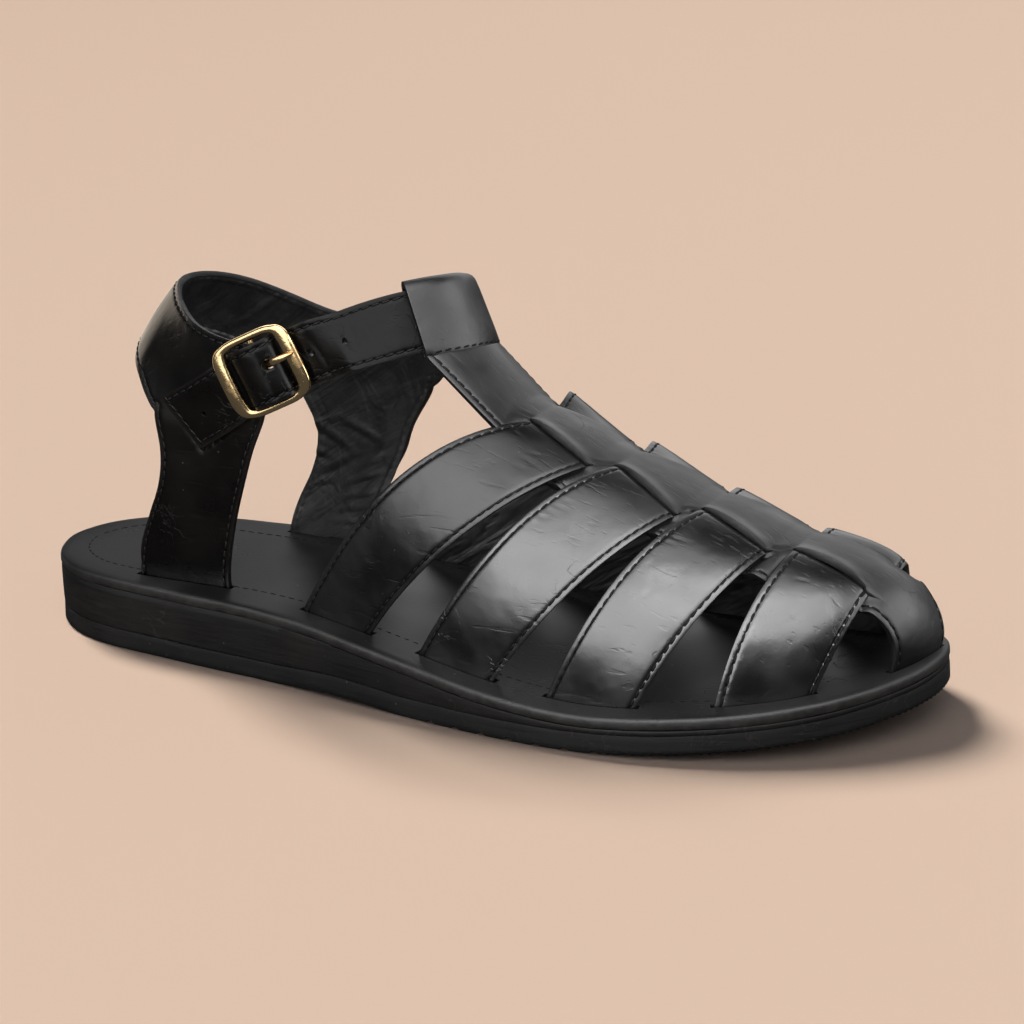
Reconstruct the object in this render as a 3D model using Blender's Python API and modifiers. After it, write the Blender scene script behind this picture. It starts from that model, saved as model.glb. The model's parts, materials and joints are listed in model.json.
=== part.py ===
"""Fisherman sandal, right shoe: rubber outsole, wedge, footbed, caged upper, heel quarter and buckle.

World frame: +X from heel to toe, +Y to the medial side, +Z up, sole standing on z = 0, origin under
the middle of the sole.  The tables below are in millimetres, with x counted from the heel end.
"""
import bpy
import bmesh
import numpy as np
from math import cos, pi, radians, sin

MM = 0.001

# Heel end of the sole on the centre line, seen from the origin under the middle of the sole.
HEEL_END = (-145.17, 2.94, 0.0)

# ---------------------------------------------------------------- driving sizes
SOLE_LENGTH = 290.0
OUTSOLE_THICK = 6.0
FOOTBED_THICK = 3.4
HEEL_HEIGHT = 22.7
BALL_HEIGHT = 11.2
WEDGE_START = 83.0
WEDGE_END = 212.0
SPRING_START = 197.0
SPRING_RISE = 7.2
ARCH_RISE = 1.0
ARCH_SPAN = (96.0, 150.0)
LAYER_GAP = 0.3
SLOT_INSET = 8.6

# Rounding of the three sole layers: inset of each ring of their edges.
OUTSOLE_EDGE = (1.0, 0.2, 0.0, 0.5)
WEDGE_EDGE = (0.6, 0.1, 0.4)
FOOTBED_EDGE = (0.3, 0.1, 0.9)
EDGE_ROUNDING = 0.8

LEATHER = 2.2
STATION_STEP = 0.5
COLLAR_BOW = 0.8
QUARTER_LEATHER = 2.0
PIECE_GAP = 0.3
SECTION_POWER = 2.3
LEVEL = 0.75
SLIT_BLEND = 2.6
WEAVE_START = 2.0
WEAVE_RISE = 5.0
MEDIAL_TURN = 2.0
PUFF_RISE = 0.22
PUFF_FALL = 0.5
MARGIN_LEAST = 2.6
MARGIN_FOLD = 0.3
SLIT_SIDE = 0.7
BAND_STEP = 3.25
T_WIDTH = 28.0
T_STATION = 169.0
T_ROWS = (0.33, 0.67)
LOOP_MIDDLE = 21.7
LOOP_STATIONS = 3.8
LOOP_COLUMN = 9.0
TOE_COLUMN = 12.0
TOE_BOW = 0.010
TOE_FALL = 0.012
TOE_FALL_Z = (22.0, 38.0)

BUCKLE_LENGTH = 27.0
BUCKLE_WIDTH = 24.4
FRAME_SQUARE = 0.42
FRAME_END_START = 0.30
FRAME_END_RISE = 0.12
FRAME_BAR = 4.4
FRAME_SIDE = 2.4
FRAME_THICK = 2.2
FRAME_BOW = 0.9
BAR_SECTION = [
    (1.0, 0.0), (0.72, 0.8), (0.0, 1.0), (-0.72, 0.8), (-1.0, 0.0), (-0.72, -0.8), (0.0, -1.0), (0.72, -0.8),
]
CENTRE_BAR_DROP = -1.2
BAR_RADIUS = 1.0
PRONG_THICK = 1.5
PRONG_WIDTH = 2.4
PRONG_HOLE = 1.7
PRONG_HOLE_AT = (4.4, 2.4)
PRONG_HOLE_SLOPE = 0.75
PRONG_ACROSS = 1.5
PRONG_EYE_TURNS = range(310, 70, -24)
LUG_THICK = 1.6
LUG_REACH = (-8.4, 8.2)
LUG_GAP = 2.2
LUG_TURNS = range(0, 211, 30)
SLOT_EXTRA = 0.9
SLOT_DEPTH = (-1.2, 0.6)
GROOVE_PITCH = 9.0
GROOVE_DEPTH = 1.3
GROOVE_WIDTH = 2.4

# Tread grooves: first groove's x, how many, half length across.
TREAD = [(16.0, 5, 20.0), (158.0, 13, 70.0)]

# Sole outline, heel round the lateral side to the toe and back: x along, y across.
OUTLINE = [
    (0.0, 0.0), (6.8, -18.2), (25.0, -30.4), (60.0, -36.6), (100.0, -41.3), (139.0, -48.0),
    (179.0, -53.8), (214.0, -53.4), (244.0, -45.4), (268.5, -31.3), (283.0, -13.6), (290.0, 6.0),
    (287.6, 25.5), (273.0, 38.6), (247.0, 45.0), (215.5, 48.4), (180.0, 47.2), (140.0, 39.4),
    (100.0, 34.2), (60.0, 33.8), (25.0, 29.0), (7.0, 17.7),
]

# Foot shape the straps follow.  x, centre line y, ridge height z.
RIDGE = [
    (100.0, -2.0, 132.0), (130.0, -1.6, 110.0), (150.0, -1.0, 95.0), (171.0, -0.3, 82.5),
    (198.0, 1.7, 70.5), (223.0, 3.8, 60.5), (251.0, 6.9, 51.0), (275.0, 9.0, 43.5), (288.0, 9.5, 38.0),
]

# Cross straps, rear to front.  Slot ends on the footbed and slit ends in the vamp band, all x; the half
# spacing of the two slits at their rear and front ends; then how far the strap's rear and front edge stand
# off the foot past the medial slit.
STRAPS = [
    # lateral slot     slit in band     medial slot      half spacing  stand-off
    (106.0, 131.0, 171.5, 191.5, 113.0, 142.0, 8.3, 14.2, 6.0, 0.6),
    (149.5, 175.5, 198.0, 219.0, 152.5, 179.0, 7.6, 16.6, 3.6, 0.6),
    (193.5, 220.0, 224.0, 245.5, 201.0, 228.0, 8.0, 15.2, 2.2, 0.8),
    (241.5, 265.0, 251.5, 273.5, 244.5, 267.5, 8.8, 12.0, 2.4, 5.5),
]

# Turns round the foot, in degrees from the slot, where a strap's shape is worked out.
STRAP_TURNS = [0.0, 7.0, 15.0, 24.0, 33.0, 42.0, 50.0, 57.0]
ACROSS_STRAP = (0.0, 0.33, 0.67, 1.0)

# Vamp band forward of the loop: x, half width.
BAND = [
    (150.0, 15.2), (160.0, 16.6), (167.0, 18.6), (173.0, 21.5), (182.0, 24.3), (200.0, 25.0), (222.0, 25.0),
    (246.0, 24.4), (258.0, 22.0), (268.0, 18.6), (276.0, 15.6), (281.0, 13.8),
]

# Toe end of the band below x = 276: centre x, centre y, z, half width, turn in degrees.
TOE_END = [
    (279.6, 8.2, 38.4, 14.2, 6.0), (283.2, 8.3, 33.2, 13.2, 8.0), (285.2, 8.4, 27.5, 12.5, 10.0),
    (285.7, 8.4, 22.0, 12.2, 12.0), (285.0, 8.4, 18.2, 12.0, 13.0), (284.8, 8.4, 15.2, 12.0, 13.0),
]

# Heel quarter and ankle strap: upper edge point and lower edge point of each station.
QUARTER = [
    ((87.6, -25.8, 100.0), (91.8, -26.4, 78.5)),
    ((80.5, -25.2, 100.4), (84.5, -26.8, 76.4)),
    ((72.5, -23.6, 101.6), (74.5, -27.2, 74.4)),
    ((64.5, -20.2, 103.6), (64.0, -27.4, 73.4)),
    ((57.0, -14.2, 106.4), (53.2, -26.8, 76.2)),
    ((52.0, -8.4, 108.2), (45.6, -22.6, 85.4)),
    ((47.4, -0.8, 109.4), (39.4, -14.4, 89.8)),
    ((45.6, 6.4, 109.6), (36.2, -4.8, 91.8)),
    ((47.0, 13.6, 109.0), (35.8, 5.4, 91.4)),
    ((50.6, 20.0, 107.4), (39.6, 15.6, 88.8)),
    ((56.2, 25.0, 105.0), (47.8, 24.0, 84.0)),
    ((63.4, 28.0, 102.0), (58.6, 28.8, 77.4)),
    ((71.0, 29.4, 99.2), (68.6, 30.2, 70.4)),
    ((79.0, 30.0, 96.6), (79.5, 30.9, 68.0)),
    ((87.8, 30.0, 95.1), (92.0, 31.2, 67.5)),
    ((97.1, 29.8, 96.0), (105.0, 31.3, 69.6)),
    ((106.7, 29.0, 98.7), (116.8, 30.8, 75.0)),
    ((116.7, 26.8, 102.5), (123.2, 29.6, 81.6)),
    ((126.1, 23.4, 106.7), (131.0, 26.2, 87.6)),
    ((134.1, 18.6, 110.5), (139.4, 20.6, 92.4)),
    ((139.4, 12.4, 113.6), (145.9, 13.4, 96.2)),
    ((141.1, 5.0, 115.8), (148.2, 5.0, 98.6)),
    ((140.1, -2.2, 116.9), (147.4, -3.6, 99.8)),
    ((136.6, -8.4, 117.0), (143.7, -11.0, 100.1)),
    ((130.6, -13.9, 116.0), (138.0, -17.1, 99.2)),
    ((123.0, -18.0, 113.8), (130.8, -21.4, 97.5)),
    ((114.0, -21.0, 110.4), (122.2, -24.4, 94.9)),
]

# Loop round the ankle strap: distance past the strap's edge (minus at the upper edge, 0 at its middle),
# then distance out of the strap's middle in clearances.
LOOP_PROFILE = [
    (1.4, -1.0), (0.1, -1.05), (0.0, -1.05), (-0.1, -1.05), (-1.4, -0.7), (-2.0, 0.0), (-1.4, 0.75),
    (-0.1, 1.1), (0.0, 1.15), (0.1, 1.1), (1.8, 0.98),
]

# Legs of the quarter down to the footbed: rear edge point and front edge point, top to bottom.
LATERAL_LEG = [
    ((54.9, -27.6, 64.0), (86.8, -26.8, 67.0)),
    ((53.6, -27.8, 54.0), (83.4, -27.0, 57.0)),
    ((49.4, -27.4, 44.0), (79.9, -27.0, 46.0)),
    ((45.0, -26.6, 34.0), (77.0, -26.6, 35.0)),
    ((43.2, -26.0, 27.0), (75.6, -26.4, 27.0)),
    ((43.0, -25.8, 22.9), (75.6, -26.4, 22.7)),
    ((43.0, -25.8, 19.8), (75.6, -26.4, 19.6)),
]
MEDIAL_LEG = [
    ((74.2, 30.4, 59.0), (109.0, 31.2, 62.0)),
    ((74.4, 30.2, 51.0), (105.6, 31.0, 53.0)),
    ((72.0, 29.8, 43.0), (101.4, 30.4, 44.0)),
    ((67.6, 28.8, 34.0), (97.6, 29.0, 35.0)),
    ((65.2, 27.6, 27.0), (96.0, 27.8, 27.0)),
    ((64.8, 27.2, 22.7), (96.0, 27.2, 22.4)),
    ((64.8, 27.2, 19.6), (96.0, 27.2, 19.3)),
]

# Legs of the quarter: first and last station of the quarter above each.
LEG_STATIONS = ((0, 4, LATERAL_LEG), (12, 16, MEDIAL_LEG))

# Buckle plane: centre, direction along the strap and direction outwards.
BUCKLE_CENTRE = np.array((94.7, -30.6, 93.6))
BUCKLE_ALONG = np.array((0.885, 0.185, 0.425))
BUCKLE_OUT = np.array((0.203, -0.979, 0.02))

# Strap through the buckle: distance along, level out of the buckle plane, offset across, lead of its upper edge.
BUCKLE_RUN = [
    (19.5, -3.1, -1.2, 0.0), (16.0, -3.2, -1.0, 0.0), (12.0, -3.2, -0.8, 0.0), (9.0, -2.5, -0.6, 0.0),
    (7.2, -0.9, -0.5, 0.0), (5.4, 1.7, -0.5, 0.0), (2.6, 3.6, -0.5, 0.0), (0.0, 4.0, -0.5, 0.0),
    (-2.8, 3.5, -0.5, 0.0), (-5.6, 1.5, -0.6, 0.0), (-7.4, -1.1, -0.7, 0.0), (-9.2, -2.5, -1.0, 0.0),
    (-12.0, -3.1, -1.7, 0.0), (-16.0, -3.4, -2.5, -0.4), (-20.0, -4.2, -3.1, -0.8), (-25.0, -5.3, -3.7, -1.3),
    (-30.0, -6.5, -4.1, -1.8), (-35.0, -7.6, -4.6, -2.2),
]
STRAP_HALF = 9.1
WINDOW_HALF = 8.4
WINDOW_START = 10.0

# Prong from its eye to its point: distance along and out of the buckle plane, size.  The last two lie on
# the front bar, at its own level.
PRONG_PATH = [(2.6, 1.3, 1.0), (4.4, 2.4, 1.0), (6.4, 3.1, 0.95), (8.4, 3.2, 0.9)]
PRONG_POINT = [(10.6, 0.7), (12.7, 0.15)]

# Lugs behind the buckle, from inside the quarter to under the centre bar: distance along, level.
LUG_PATH = [(-9.5, -4.9), (-6.5, -4.6), (-3.0, -4.2)]

# Colours, roughness and metalness of each piece.
LOOKS = {
    "outsole": ((0.018, 0.018, 0.019), 0.72, 0.0),
    "wedge": ((0.020, 0.020, 0.021), 0.62, 0.0),
    "footbed": ((0.026, 0.026, 0.028), 0.55, 0.0),
    "upper": ((0.014, 0.014, 0.015), 0.34, 0.0),
    "quarter": ((0.014, 0.014, 0.015), 0.38, 0.0),
    "buckle_frame": ((0.78, 0.57, 0.28), 0.26, 1.0),
    "buckle_prong": ((0.74, 0.54, 0.27), 0.30, 1.0),
}


# ---------------------------------------------------------------- curves and tables
def hermite(knots, values, at):
    """Smooth curve through table values that never overshoots between two rows."""
    knots = np.asarray(knots, float)
    values = np.asarray(values, float)
    at = np.clip(np.asarray(at, float), knots[0], knots[-1])
    step = np.diff(knots)
    slope = np.diff(values) / step
    tangent = np.zeros_like(values)
    tangent[0] = slope[0]
    tangent[-1] = slope[-1]
    for i in range(1, len(values) - 1):
        if slope[i - 1] * slope[i] > 0.0:
            tangent[i] = 2.0 * slope[i - 1] * slope[i] / (slope[i - 1] + slope[i])
    i = np.clip(np.searchsorted(knots, at, side="right") - 1, 0, len(step) - 1)
    t = (at - knots[i]) / step[i]
    return (values[i] * (1 + 2 * t) * (1 - t) ** 2 + tangent[i] * step[i] * t * (1 - t) ** 2
            + values[i + 1] * t * t * (3 - 2 * t) + tangent[i + 1] * step[i] * t * t * (t - 1))


def blend(t):
    t = np.clip(t, 0.0, 1.0)
    return t * t * (3.0 - 2.0 * t)


def unit(vector):
    vector = np.asarray(vector, float)
    return vector / np.linalg.norm(vector)


def through(points, count=None, at=None, closed=False):
    """Rounded curve through points, sampled evenly along its length or at given fractions."""
    points = np.asarray(points, float)
    if closed:
        points = np.vstack([points[-2:], points, points[:3]])
    length = np.concatenate([[0.0], np.cumsum(np.linalg.norm(np.diff(points, axis=0), axis=1))])
    tangent = np.zeros_like(points)
    tangent[1:-1] = (points[2:] - points[:-2]) / (length[2:] - length[:-2])[:, None]
    tangent[0] = (points[1] - points[0]) / (length[1] - length[0])
    tangent[-1] = (points[-1] - points[-2]) / (length[-1] - length[-2])
    start, end = (length[2], length[-3]) if closed else (0.0, length[-1])
    if at is None:
        at = np.linspace(0.0, 1.0, count, endpoint=not closed)
    where = start + np.asarray(at, float) * (end - start)
    i = np.clip(np.searchsorted(length, where, side="right") - 1, 0, len(length) - 2)
    step = length[i + 1] - length[i]
    t = ((where - length[i]) / step)[:, None]
    step = step[:, None]
    return (points[i] * (1 + 2 * t) * (1 - t) ** 2 + tangent[i] * step * t * (1 - t) ** 2
            + points[i + 1] * t * t * (3 - 2 * t) + tangent[i + 1] * step * t * t * (t - 1))


# ---------------------------------------------------------------- sole heights and outline
def ground_lift(x):
    """Underside height: flat heel and ball, small arch relief and toe spring."""
    toe = SPRING_RISE * np.clip((x - SPRING_START) / (SOLE_LENGTH - SPRING_START), 0.0, 1.0) ** 2
    across = np.clip((x - ARCH_SPAN[0]) / (ARCH_SPAN[1] - ARCH_SPAN[0]), 0.0, 1.0)
    return toe + ARCH_RISE * np.sin(pi * across) ** 2


def footbed_top(x):
    drop = blend((x - WEDGE_START) / (WEDGE_END - WEDGE_START))
    toe = SPRING_RISE * np.clip((x - SPRING_START) / (SOLE_LENGTH - SPRING_START), 0.0, 1.0) ** 2
    return HEEL_HEIGHT + (BALL_HEIGHT - HEEL_HEIGHT) * drop + toe


def outline_ring(inset, count=72):
    """Closed outline moved inwards by a distance."""
    ring = through(OUTLINE, count, closed=True)
    ahead = np.roll(ring, -1, axis=0) - np.roll(ring, 1, axis=0)
    inward = np.stack([-ahead[:, 1], ahead[:, 0]], axis=1)
    return ring + inset * inward / np.linalg.norm(inward, axis=1)[:, None]


FINE_OUTLINE = outline_ring(SLOT_INSET, 400)
LATERAL_HALF = FINE_OUTLINE[FINE_OUTLINE[:, 1] < 2.0]
MEDIAL_HALF = FINE_OUTLINE[FINE_OUTLINE[:, 1] > 2.0]


def slot_y(x, side):
    half = LATERAL_HALF if side < 0 else MEDIAL_HALF
    half = half[np.argsort(half[:, 0])]
    return np.interp(x, half[:, 0], half[:, 1])


# ---------------------------------------------------------------- foot surface under the straps
def ridge(x):
    rows = np.array(RIDGE)
    return hermite(rows[:, 0], rows[:, 1], x), hermite(rows[:, 0], rows[:, 2], x)


def foot_point(x, angle, level):
    """Point on the foot shape: angle 0 at the lateral slot line, 180 at the medial slot line."""
    centre, top = ridge(x)
    base = footbed_top(x)
    side = -1.0 if angle < 90.0 else 1.0
    reach = abs(slot_y(x, side) - centre)
    c = cos(radians(angle))
    s = sin(radians(angle))
    r = (abs(c) ** SECTION_POWER + abs(s) ** SECTION_POWER) ** (-1.0 / SECTION_POWER)
    across = np.array((0.0, -reach * r * c, (top - base) * r * s))
    out = unit((0.0, -np.sign(c) * abs(r * c) ** (SECTION_POWER - 1.0) / reach,
                abs(r * s) ** (SECTION_POWER - 1.0) / (top - base)))
    return np.array((x, centre, base)) + across + level * out


def angle_at(x, offset):
    """Angle on the section where the surface stands a given distance to the side of the ridge."""
    centre, top = ridge(x)
    base = footbed_top(x)
    side = -1.0 if offset < 0 else 1.0
    reach = abs(slot_y(x, side) - centre)
    u = min(abs(offset) / reach, 0.995)
    rise = (1.0 - u ** SECTION_POWER) ** (1.0 / SECTION_POWER)
    angle = np.degrees(np.arctan2(rise, u))
    return angle if offset < 0 else 180.0 - angle


def slit_half(x):
    """Half spacing of the two rows of slits at a station."""
    knots = []
    values = []
    for row in STRAPS:
        knots += [row[2], row[3]]
        values += [row[6], row[7]]
    return float(np.interp(x, knots, values))


def weave(x):
    """How far the band is lifted over the strap below it, 0 between straps and 1 over one."""
    lift = 0.0
    for row in STRAPS:
        inside = min(x - row[2], row[3] - x)
        lift = max(lift, float(blend((inside + WEAVE_START) / WEAVE_RISE)))
    return lift


# ---------------------------------------------------------------- mesh helpers
def collection(name):
    made = bpy.data.collections.new(name)
    bpy.context.scene.collection.children.link(made)
    return made


def material(name):
    colour, rough, metal = LOOKS[name]
    made = bpy.data.materials.new(name)
    made.use_nodes = True
    shader = made.node_tree.nodes["Principled BSDF"]
    shader.inputs["Base Color"].default_value = (*colour, 1.0)
    shader.inputs["Roughness"].default_value = rough
    shader.inputs["Metallic"].default_value = metal
    made.diffuse_color = (*colour, 1.0)
    return made


def in_place(point):
    """Point of the tables in the world frame, in metres."""
    return (np.asarray(point, float) + HEEL_END) * MM


def place(name, vertices, faces, where, look=None):
    mesh = bpy.data.meshes.new(name)
    mesh.from_pydata([tuple(in_place(vertex)) for vertex in vertices], [], faces)
    bm = bmesh.new()
    bm.from_mesh(mesh)
    bmesh.ops.recalc_face_normals(bm, faces=bm.faces)
    bm.to_mesh(mesh)
    bm.free()
    made = bpy.data.objects.new(name, mesh)
    where.objects.link(made)
    if look:
        made.data.materials.append(material(look))
    if where.name == "cutters":
        made.hide_render = True
        made.display_type = "WIRE"
    return made


def shade_smooth(thing):
    for face in thing.data.polygons:
        face.use_smooth = True


def grid(name, rows, where, thick, look=None):
    """Sheet through rows of points, given its wall."""
    columns = len(rows[0])
    vertices = [point for row in rows for point in row]
    faces = []
    for i in range(len(rows) - 1):
        for j in range(columns - 1):
            a = i * columns + j
            faces.append((a, a + 1, a + columns + 1, a + columns))
    made = place(name, vertices, faces, where, look)
    wall(made, thick)
    return made


def wall(thing, thick):
    solid = thing.modifiers.new("wall", "SOLIDIFY")
    solid.thickness = thick * MM
    solid.offset = 0.0
    solid.use_even_offset = True


def combine(thing, other, operation):
    step = thing.modifiers.new(operation.lower(), "BOOLEAN")
    step.operation = operation
    step.solver = "EXACT"
    step.object = other


def slab(name, rings, where, look=None):
    """Closed body through stacked outline rings, top and bottom filled from side to side."""
    count = len(rings[0])
    vertices = [point for ring in rings for point in ring]
    faces = []
    for k in range(len(rings) - 1):
        for i in range(count):
            j = (i + 1) % count
            faces.append((k * count + i, k * count + j, (k + 1) * count + j, (k + 1) * count + i))
    top = (len(rings) - 1) * count
    half = count // 2
    for base in (0, top):
        faces.append((base, base + 1, base + count - 1))
        for i in range(1, half - 1):
            faces.append((base + i, base + i + 1, base + count - i - 1, base + count - i))
        faces.append((base + half - 1, base + half, base + half + 1))
    return place(name, vertices, faces, where, look)


# ---------------------------------------------------------------- sole
def level_ring(inset, height):
    ring = outline_ring(inset)
    return [(x, y, height(x)) for x, y in ring]


def build_sole(shoe, cutters):
    def under_footbed(x):
        return footbed_top(x) - FOOTBED_THICK - LAYER_GAP

    def tread(x):
        return float(ground_lift(x))

    outsole = slab("outsole", [
        level_ring(OUTSOLE_EDGE[0], tread),
        level_ring(OUTSOLE_EDGE[1], lambda x: tread(x) + EDGE_ROUNDING),
        level_ring(OUTSOLE_EDGE[2], lambda x: tread(x) + OUTSOLE_THICK - EDGE_ROUNDING),
        level_ring(OUTSOLE_EDGE[3], lambda x: tread(x) + OUTSOLE_THICK),
    ], shoe, "outsole")
    wedge = slab("wedge", [
        level_ring(WEDGE_EDGE[0], lambda x: tread(x) + OUTSOLE_THICK + LAYER_GAP),
        level_ring(WEDGE_EDGE[1], lambda x: 0.5 * (tread(x) + OUTSOLE_THICK + LAYER_GAP + under_footbed(x))),
        level_ring(WEDGE_EDGE[2], under_footbed),
    ], shoe, "wedge")
    footbed = slab("footbed", [
        level_ring(FOOTBED_EDGE[0], lambda x: footbed_top(x) - FOOTBED_THICK),
        level_ring(FOOTBED_EDGE[1], lambda x: footbed_top(x) - EDGE_ROUNDING),
        level_ring(FOOTBED_EDGE[2], footbed_top),
    ], shoe, "footbed")
    add_grooves(outsole, cutters)
    return outsole, wedge, footbed


def add_grooves(outsole, cutters):
    """Cross grooves of the tread: closed at their ends under the heel, open to the edge under the forefoot."""
    vertices = []
    faces = []
    for first, count, reach in TREAD:
        for x in np.arange(first, first + (count - 0.5) * GROOVE_PITCH, GROOVE_PITCH):
            low = float(ground_lift(x)) - 1.0
            high = float(ground_lift(x)) + GROOVE_DEPTH
            base = len(vertices)
            for y in (-reach, reach):
                vertices += [(x - GROOVE_WIDTH, y, low), (x + GROOVE_WIDTH, y, low), (x, y, high)]
            faces += [(base, base + 2, base + 1), (base + 3, base + 4, base + 5)]
            faces += [(base, base + 1, base + 4, base + 3), (base + 1, base + 2, base + 5, base + 4)]
            faces += [(base + 2, base, base + 3, base + 5)]
    combine(outsole, place("tread_grooves", vertices, faces, cutters), "DIFFERENCE")


# ---------------------------------------------------------------- cross straps
def strap_x(row, angle, v):
    """Station of a point on a cross strap, v running from its rear edge to its front edge."""
    slit = row[2] + v * (row[3] - row[2])
    if angle < 90.0:
        slot = row[0] + v * (row[1] - row[0])
        turn = min(angle / angle_at(slit, -slit_half(slit)), 1.0)
        share = 0.5 * turn + 0.5 * sin(0.5 * pi * turn)
    else:
        slot = row[4] + v * (row[5] - row[4])
        share = 1.0 - (1.0 - medial_turn(row, angle, v)) ** MEDIAL_TURN
    return slot + (slit - slot) * share


def medial_turn(row, angle, v):
    """Share of the way from the medial slot, 0, up to the medial slit, 1."""
    slit = row[2] + v * (row[3] - row[2])
    return min((180.0 - angle) / (180.0 - angle_at(slit, slit_half(slit))), 1.0)


def strap_point(row, angle, v):
    x = strap_x(row, angle, v)
    offset = abs(foot_point(x, angle, 0.0)[1] - ridge(x)[0])
    over = blend((offset - slit_half(x) + SLIT_BLEND) / (2.0 * SLIT_BLEND))
    level = -0.5 * LEATHER - 2.0 * LEVEL * (1.0 - over)
    if angle > 90.0:
        turn = medial_turn(row, angle, v)
        stand_off = row[8] + v * (row[9] - row[8])
        level += stand_off * blend((1.0 - turn) / PUFF_RISE) * blend(turn / PUFF_FALL)
    return foot_point(x, angle, level)


def strap_rows(row, widths, depth):
    """Rows of points along a strap from below the lateral slot over the foot to below the medial slot."""
    low = angle_at(row[2], -row[6])
    high = angle_at(row[3], -row[7])
    near = STRAP_TURNS + [high - 4.0, high - 1.0, high + 2.0, low, low + 3.0]
    near = sorted(angle for angle in near if angle < 88.0)
    turns = near + [90.0] + [180.0 - angle for angle in reversed(near)]
    rows = [[strap_point(row, angle, v) for v in widths] for angle in turns]
    down = np.array((0.0, 0.0, depth))
    return [[point - down for point in rows[0]]] + rows + [[point - down for point in rows[-1]]]


# ---------------------------------------------------------------- vamp band
def band_rows():
    """Rows across the vamp band: loop, T, woven part, toe end."""
    rows = loop_rows()
    start = band_line(T_STATION)
    rows += [[a * (1.0 - t) + b * t for a, b in zip(rows[-1], start)] for t in T_ROWS]
    rows += [band_line(x) for x in np.arange(T_STATION, TOE_END[0][0] - 0.5 * BAND_STEP, BAND_STEP)]
    for x, y, z, half, turn in TOE_END:
        line = []
        a = radians(turn)
        along = np.array((sin(a), cos(a), 0.0))
        for c in band_columns(half, TOE_COLUMN):
            bow = TOE_BOW * c * c
            fall = TOE_FALL * c * c * np.clip((z - TOE_FALL_Z[0]) / (TOE_FALL_Z[1] - TOE_FALL_Z[0]), 0.0, 1.0)
            line.append(np.array((x, y, z)) + along * c - np.array((cos(a) * bow, -sin(a) * bow, fall)))
        rows.append(line)
    return rows


def band_columns(half, slit):
    """Offsets across the band: its edges, the middle of each margin, both sides of each slit, the spine."""
    slit = min(slit, half - MARGIN_LEAST)
    edge = [half, 0.5 * (half + slit) + MARGIN_FOLD, slit + SLIT_SIDE, slit - SLIT_SIDE, 0.5 * slit]
    return [-c for c in edge] + [0.0] + list(reversed(edge))


def band_line(x):
    knots = np.array(BAND)
    half = float(hermite(knots[:, 0], knots[:, 1], x))
    slit = slit_half(x)
    lift = weave(x)
    line = []
    for c in band_columns(half, slit):
        side = 1.0 if abs(c) < slit else -1.0
        level = -0.5 * LEATHER - LEVEL + LEVEL * lift * side
        line.append(foot_point(x, angle_at(x, c) if abs(c) > 0.01 else 90.0, level))
    return line


def loop_rows():
    """Rows of the loop round the ankle strap, from the stitched inner end to the T."""
    gap = 0.5 * (QUARTER_LEATHER + LEATHER) + PIECE_GAP
    rows = []
    for past_edge, n in LOOP_PROFILE:
        line = []
        for c in band_columns(0.5 * T_WIDTH, LOOP_COLUMN):
            number = LOOP_MIDDLE - c * LOOP_STATIONS / T_WIDTH
            top, low = station(number)
            ahead = sum(station(number + 0.1)) - sum(station(number - 0.1))
            down = unit(low - top)
            out = unit(np.cross(ahead, down))
            half = 0.5 * np.linalg.norm(low - top)
            d = np.sign(past_edge) * half + past_edge if abs(past_edge) > 0.01 else 0.0
            line.append(0.5 * (top + low) + down * d + out * n * gap)
        rows.append(line)
    return rows


def build_upper(shoe, cutters):
    upper = grid("upper", band_rows(), shoe, LEATHER, "upper")
    for number, row in enumerate(STRAPS, 1):
        name = "strap_%d" % number
        strap = grid(name, strap_rows(row, ACROSS_STRAP, FOOTBED_THICK - LAYER_GAP), cutters, LEATHER)
        combine(upper, strap, "UNION")
    return upper


# ---------------------------------------------------------------- quarter and ankle strap
def buckle_axes():
    along = unit(BUCKLE_ALONG)
    out = unit(BUCKLE_OUT - along * np.dot(BUCKLE_OUT, along))
    return along, np.cross(out, along), out


def buckle_point(a, b, c):
    along, across, out = buckle_axes()
    return BUCKLE_CENTRE + along * a + across * b + out * c


def bulged(top, low, count, bow):
    """Points from the upper edge to the lower edge of the quarter, bowed outwards from the ankle."""
    top = np.asarray(top, float)
    low = np.asarray(low, float)
    middle = 0.5 * (top + low)
    out = unit((middle[0] - 84.0, 1.6 * middle[1], 0.0))
    points = []
    for t in np.linspace(0.0, 1.0, count):
        points.append(top * (1 - t) + low * t + out * bow * 4.0 * t * (1 - t))
    return points


def station(number):
    """Upper and lower edge point of the quarter at any station, whole or part."""
    i = min(max(int(number), 0), len(QUARTER) - 2)
    t = number - i
    rows = np.array([QUARTER[min(max(i + k, 0), len(QUARTER) - 1)] for k in (-1, 0, 1, 2)])
    start = 0.5 * (rows[2] - rows[0])
    end = 0.5 * (rows[3] - rows[1])
    return (rows[1] * (1 + 2 * t) * (1 - t) ** 2 + start * t * (1 - t) ** 2
            + rows[2] * t * t * (3 - 2 * t) + end * t * t * (t - 1))


def quarter_rows():
    rows = []
    for number in np.arange(0.0, len(QUARTER) - 0.9, STATION_STEP):
        fade = float(blend((20.0 - number) / 6.0))
        rows.append(bulged(*station(number), 5, COLLAR_BOW * fade + 0.1))
    for a, level, middle, lead in BUCKLE_RUN:
        half = STRAP_HALF if a > WINDOW_START else WINDOW_HALF
        rows.append([buckle_point(a + lead * t, middle + half * t, level) for t in (1.0, 0.5, 0.0, -0.5, -1.0)])
    return rows


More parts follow.
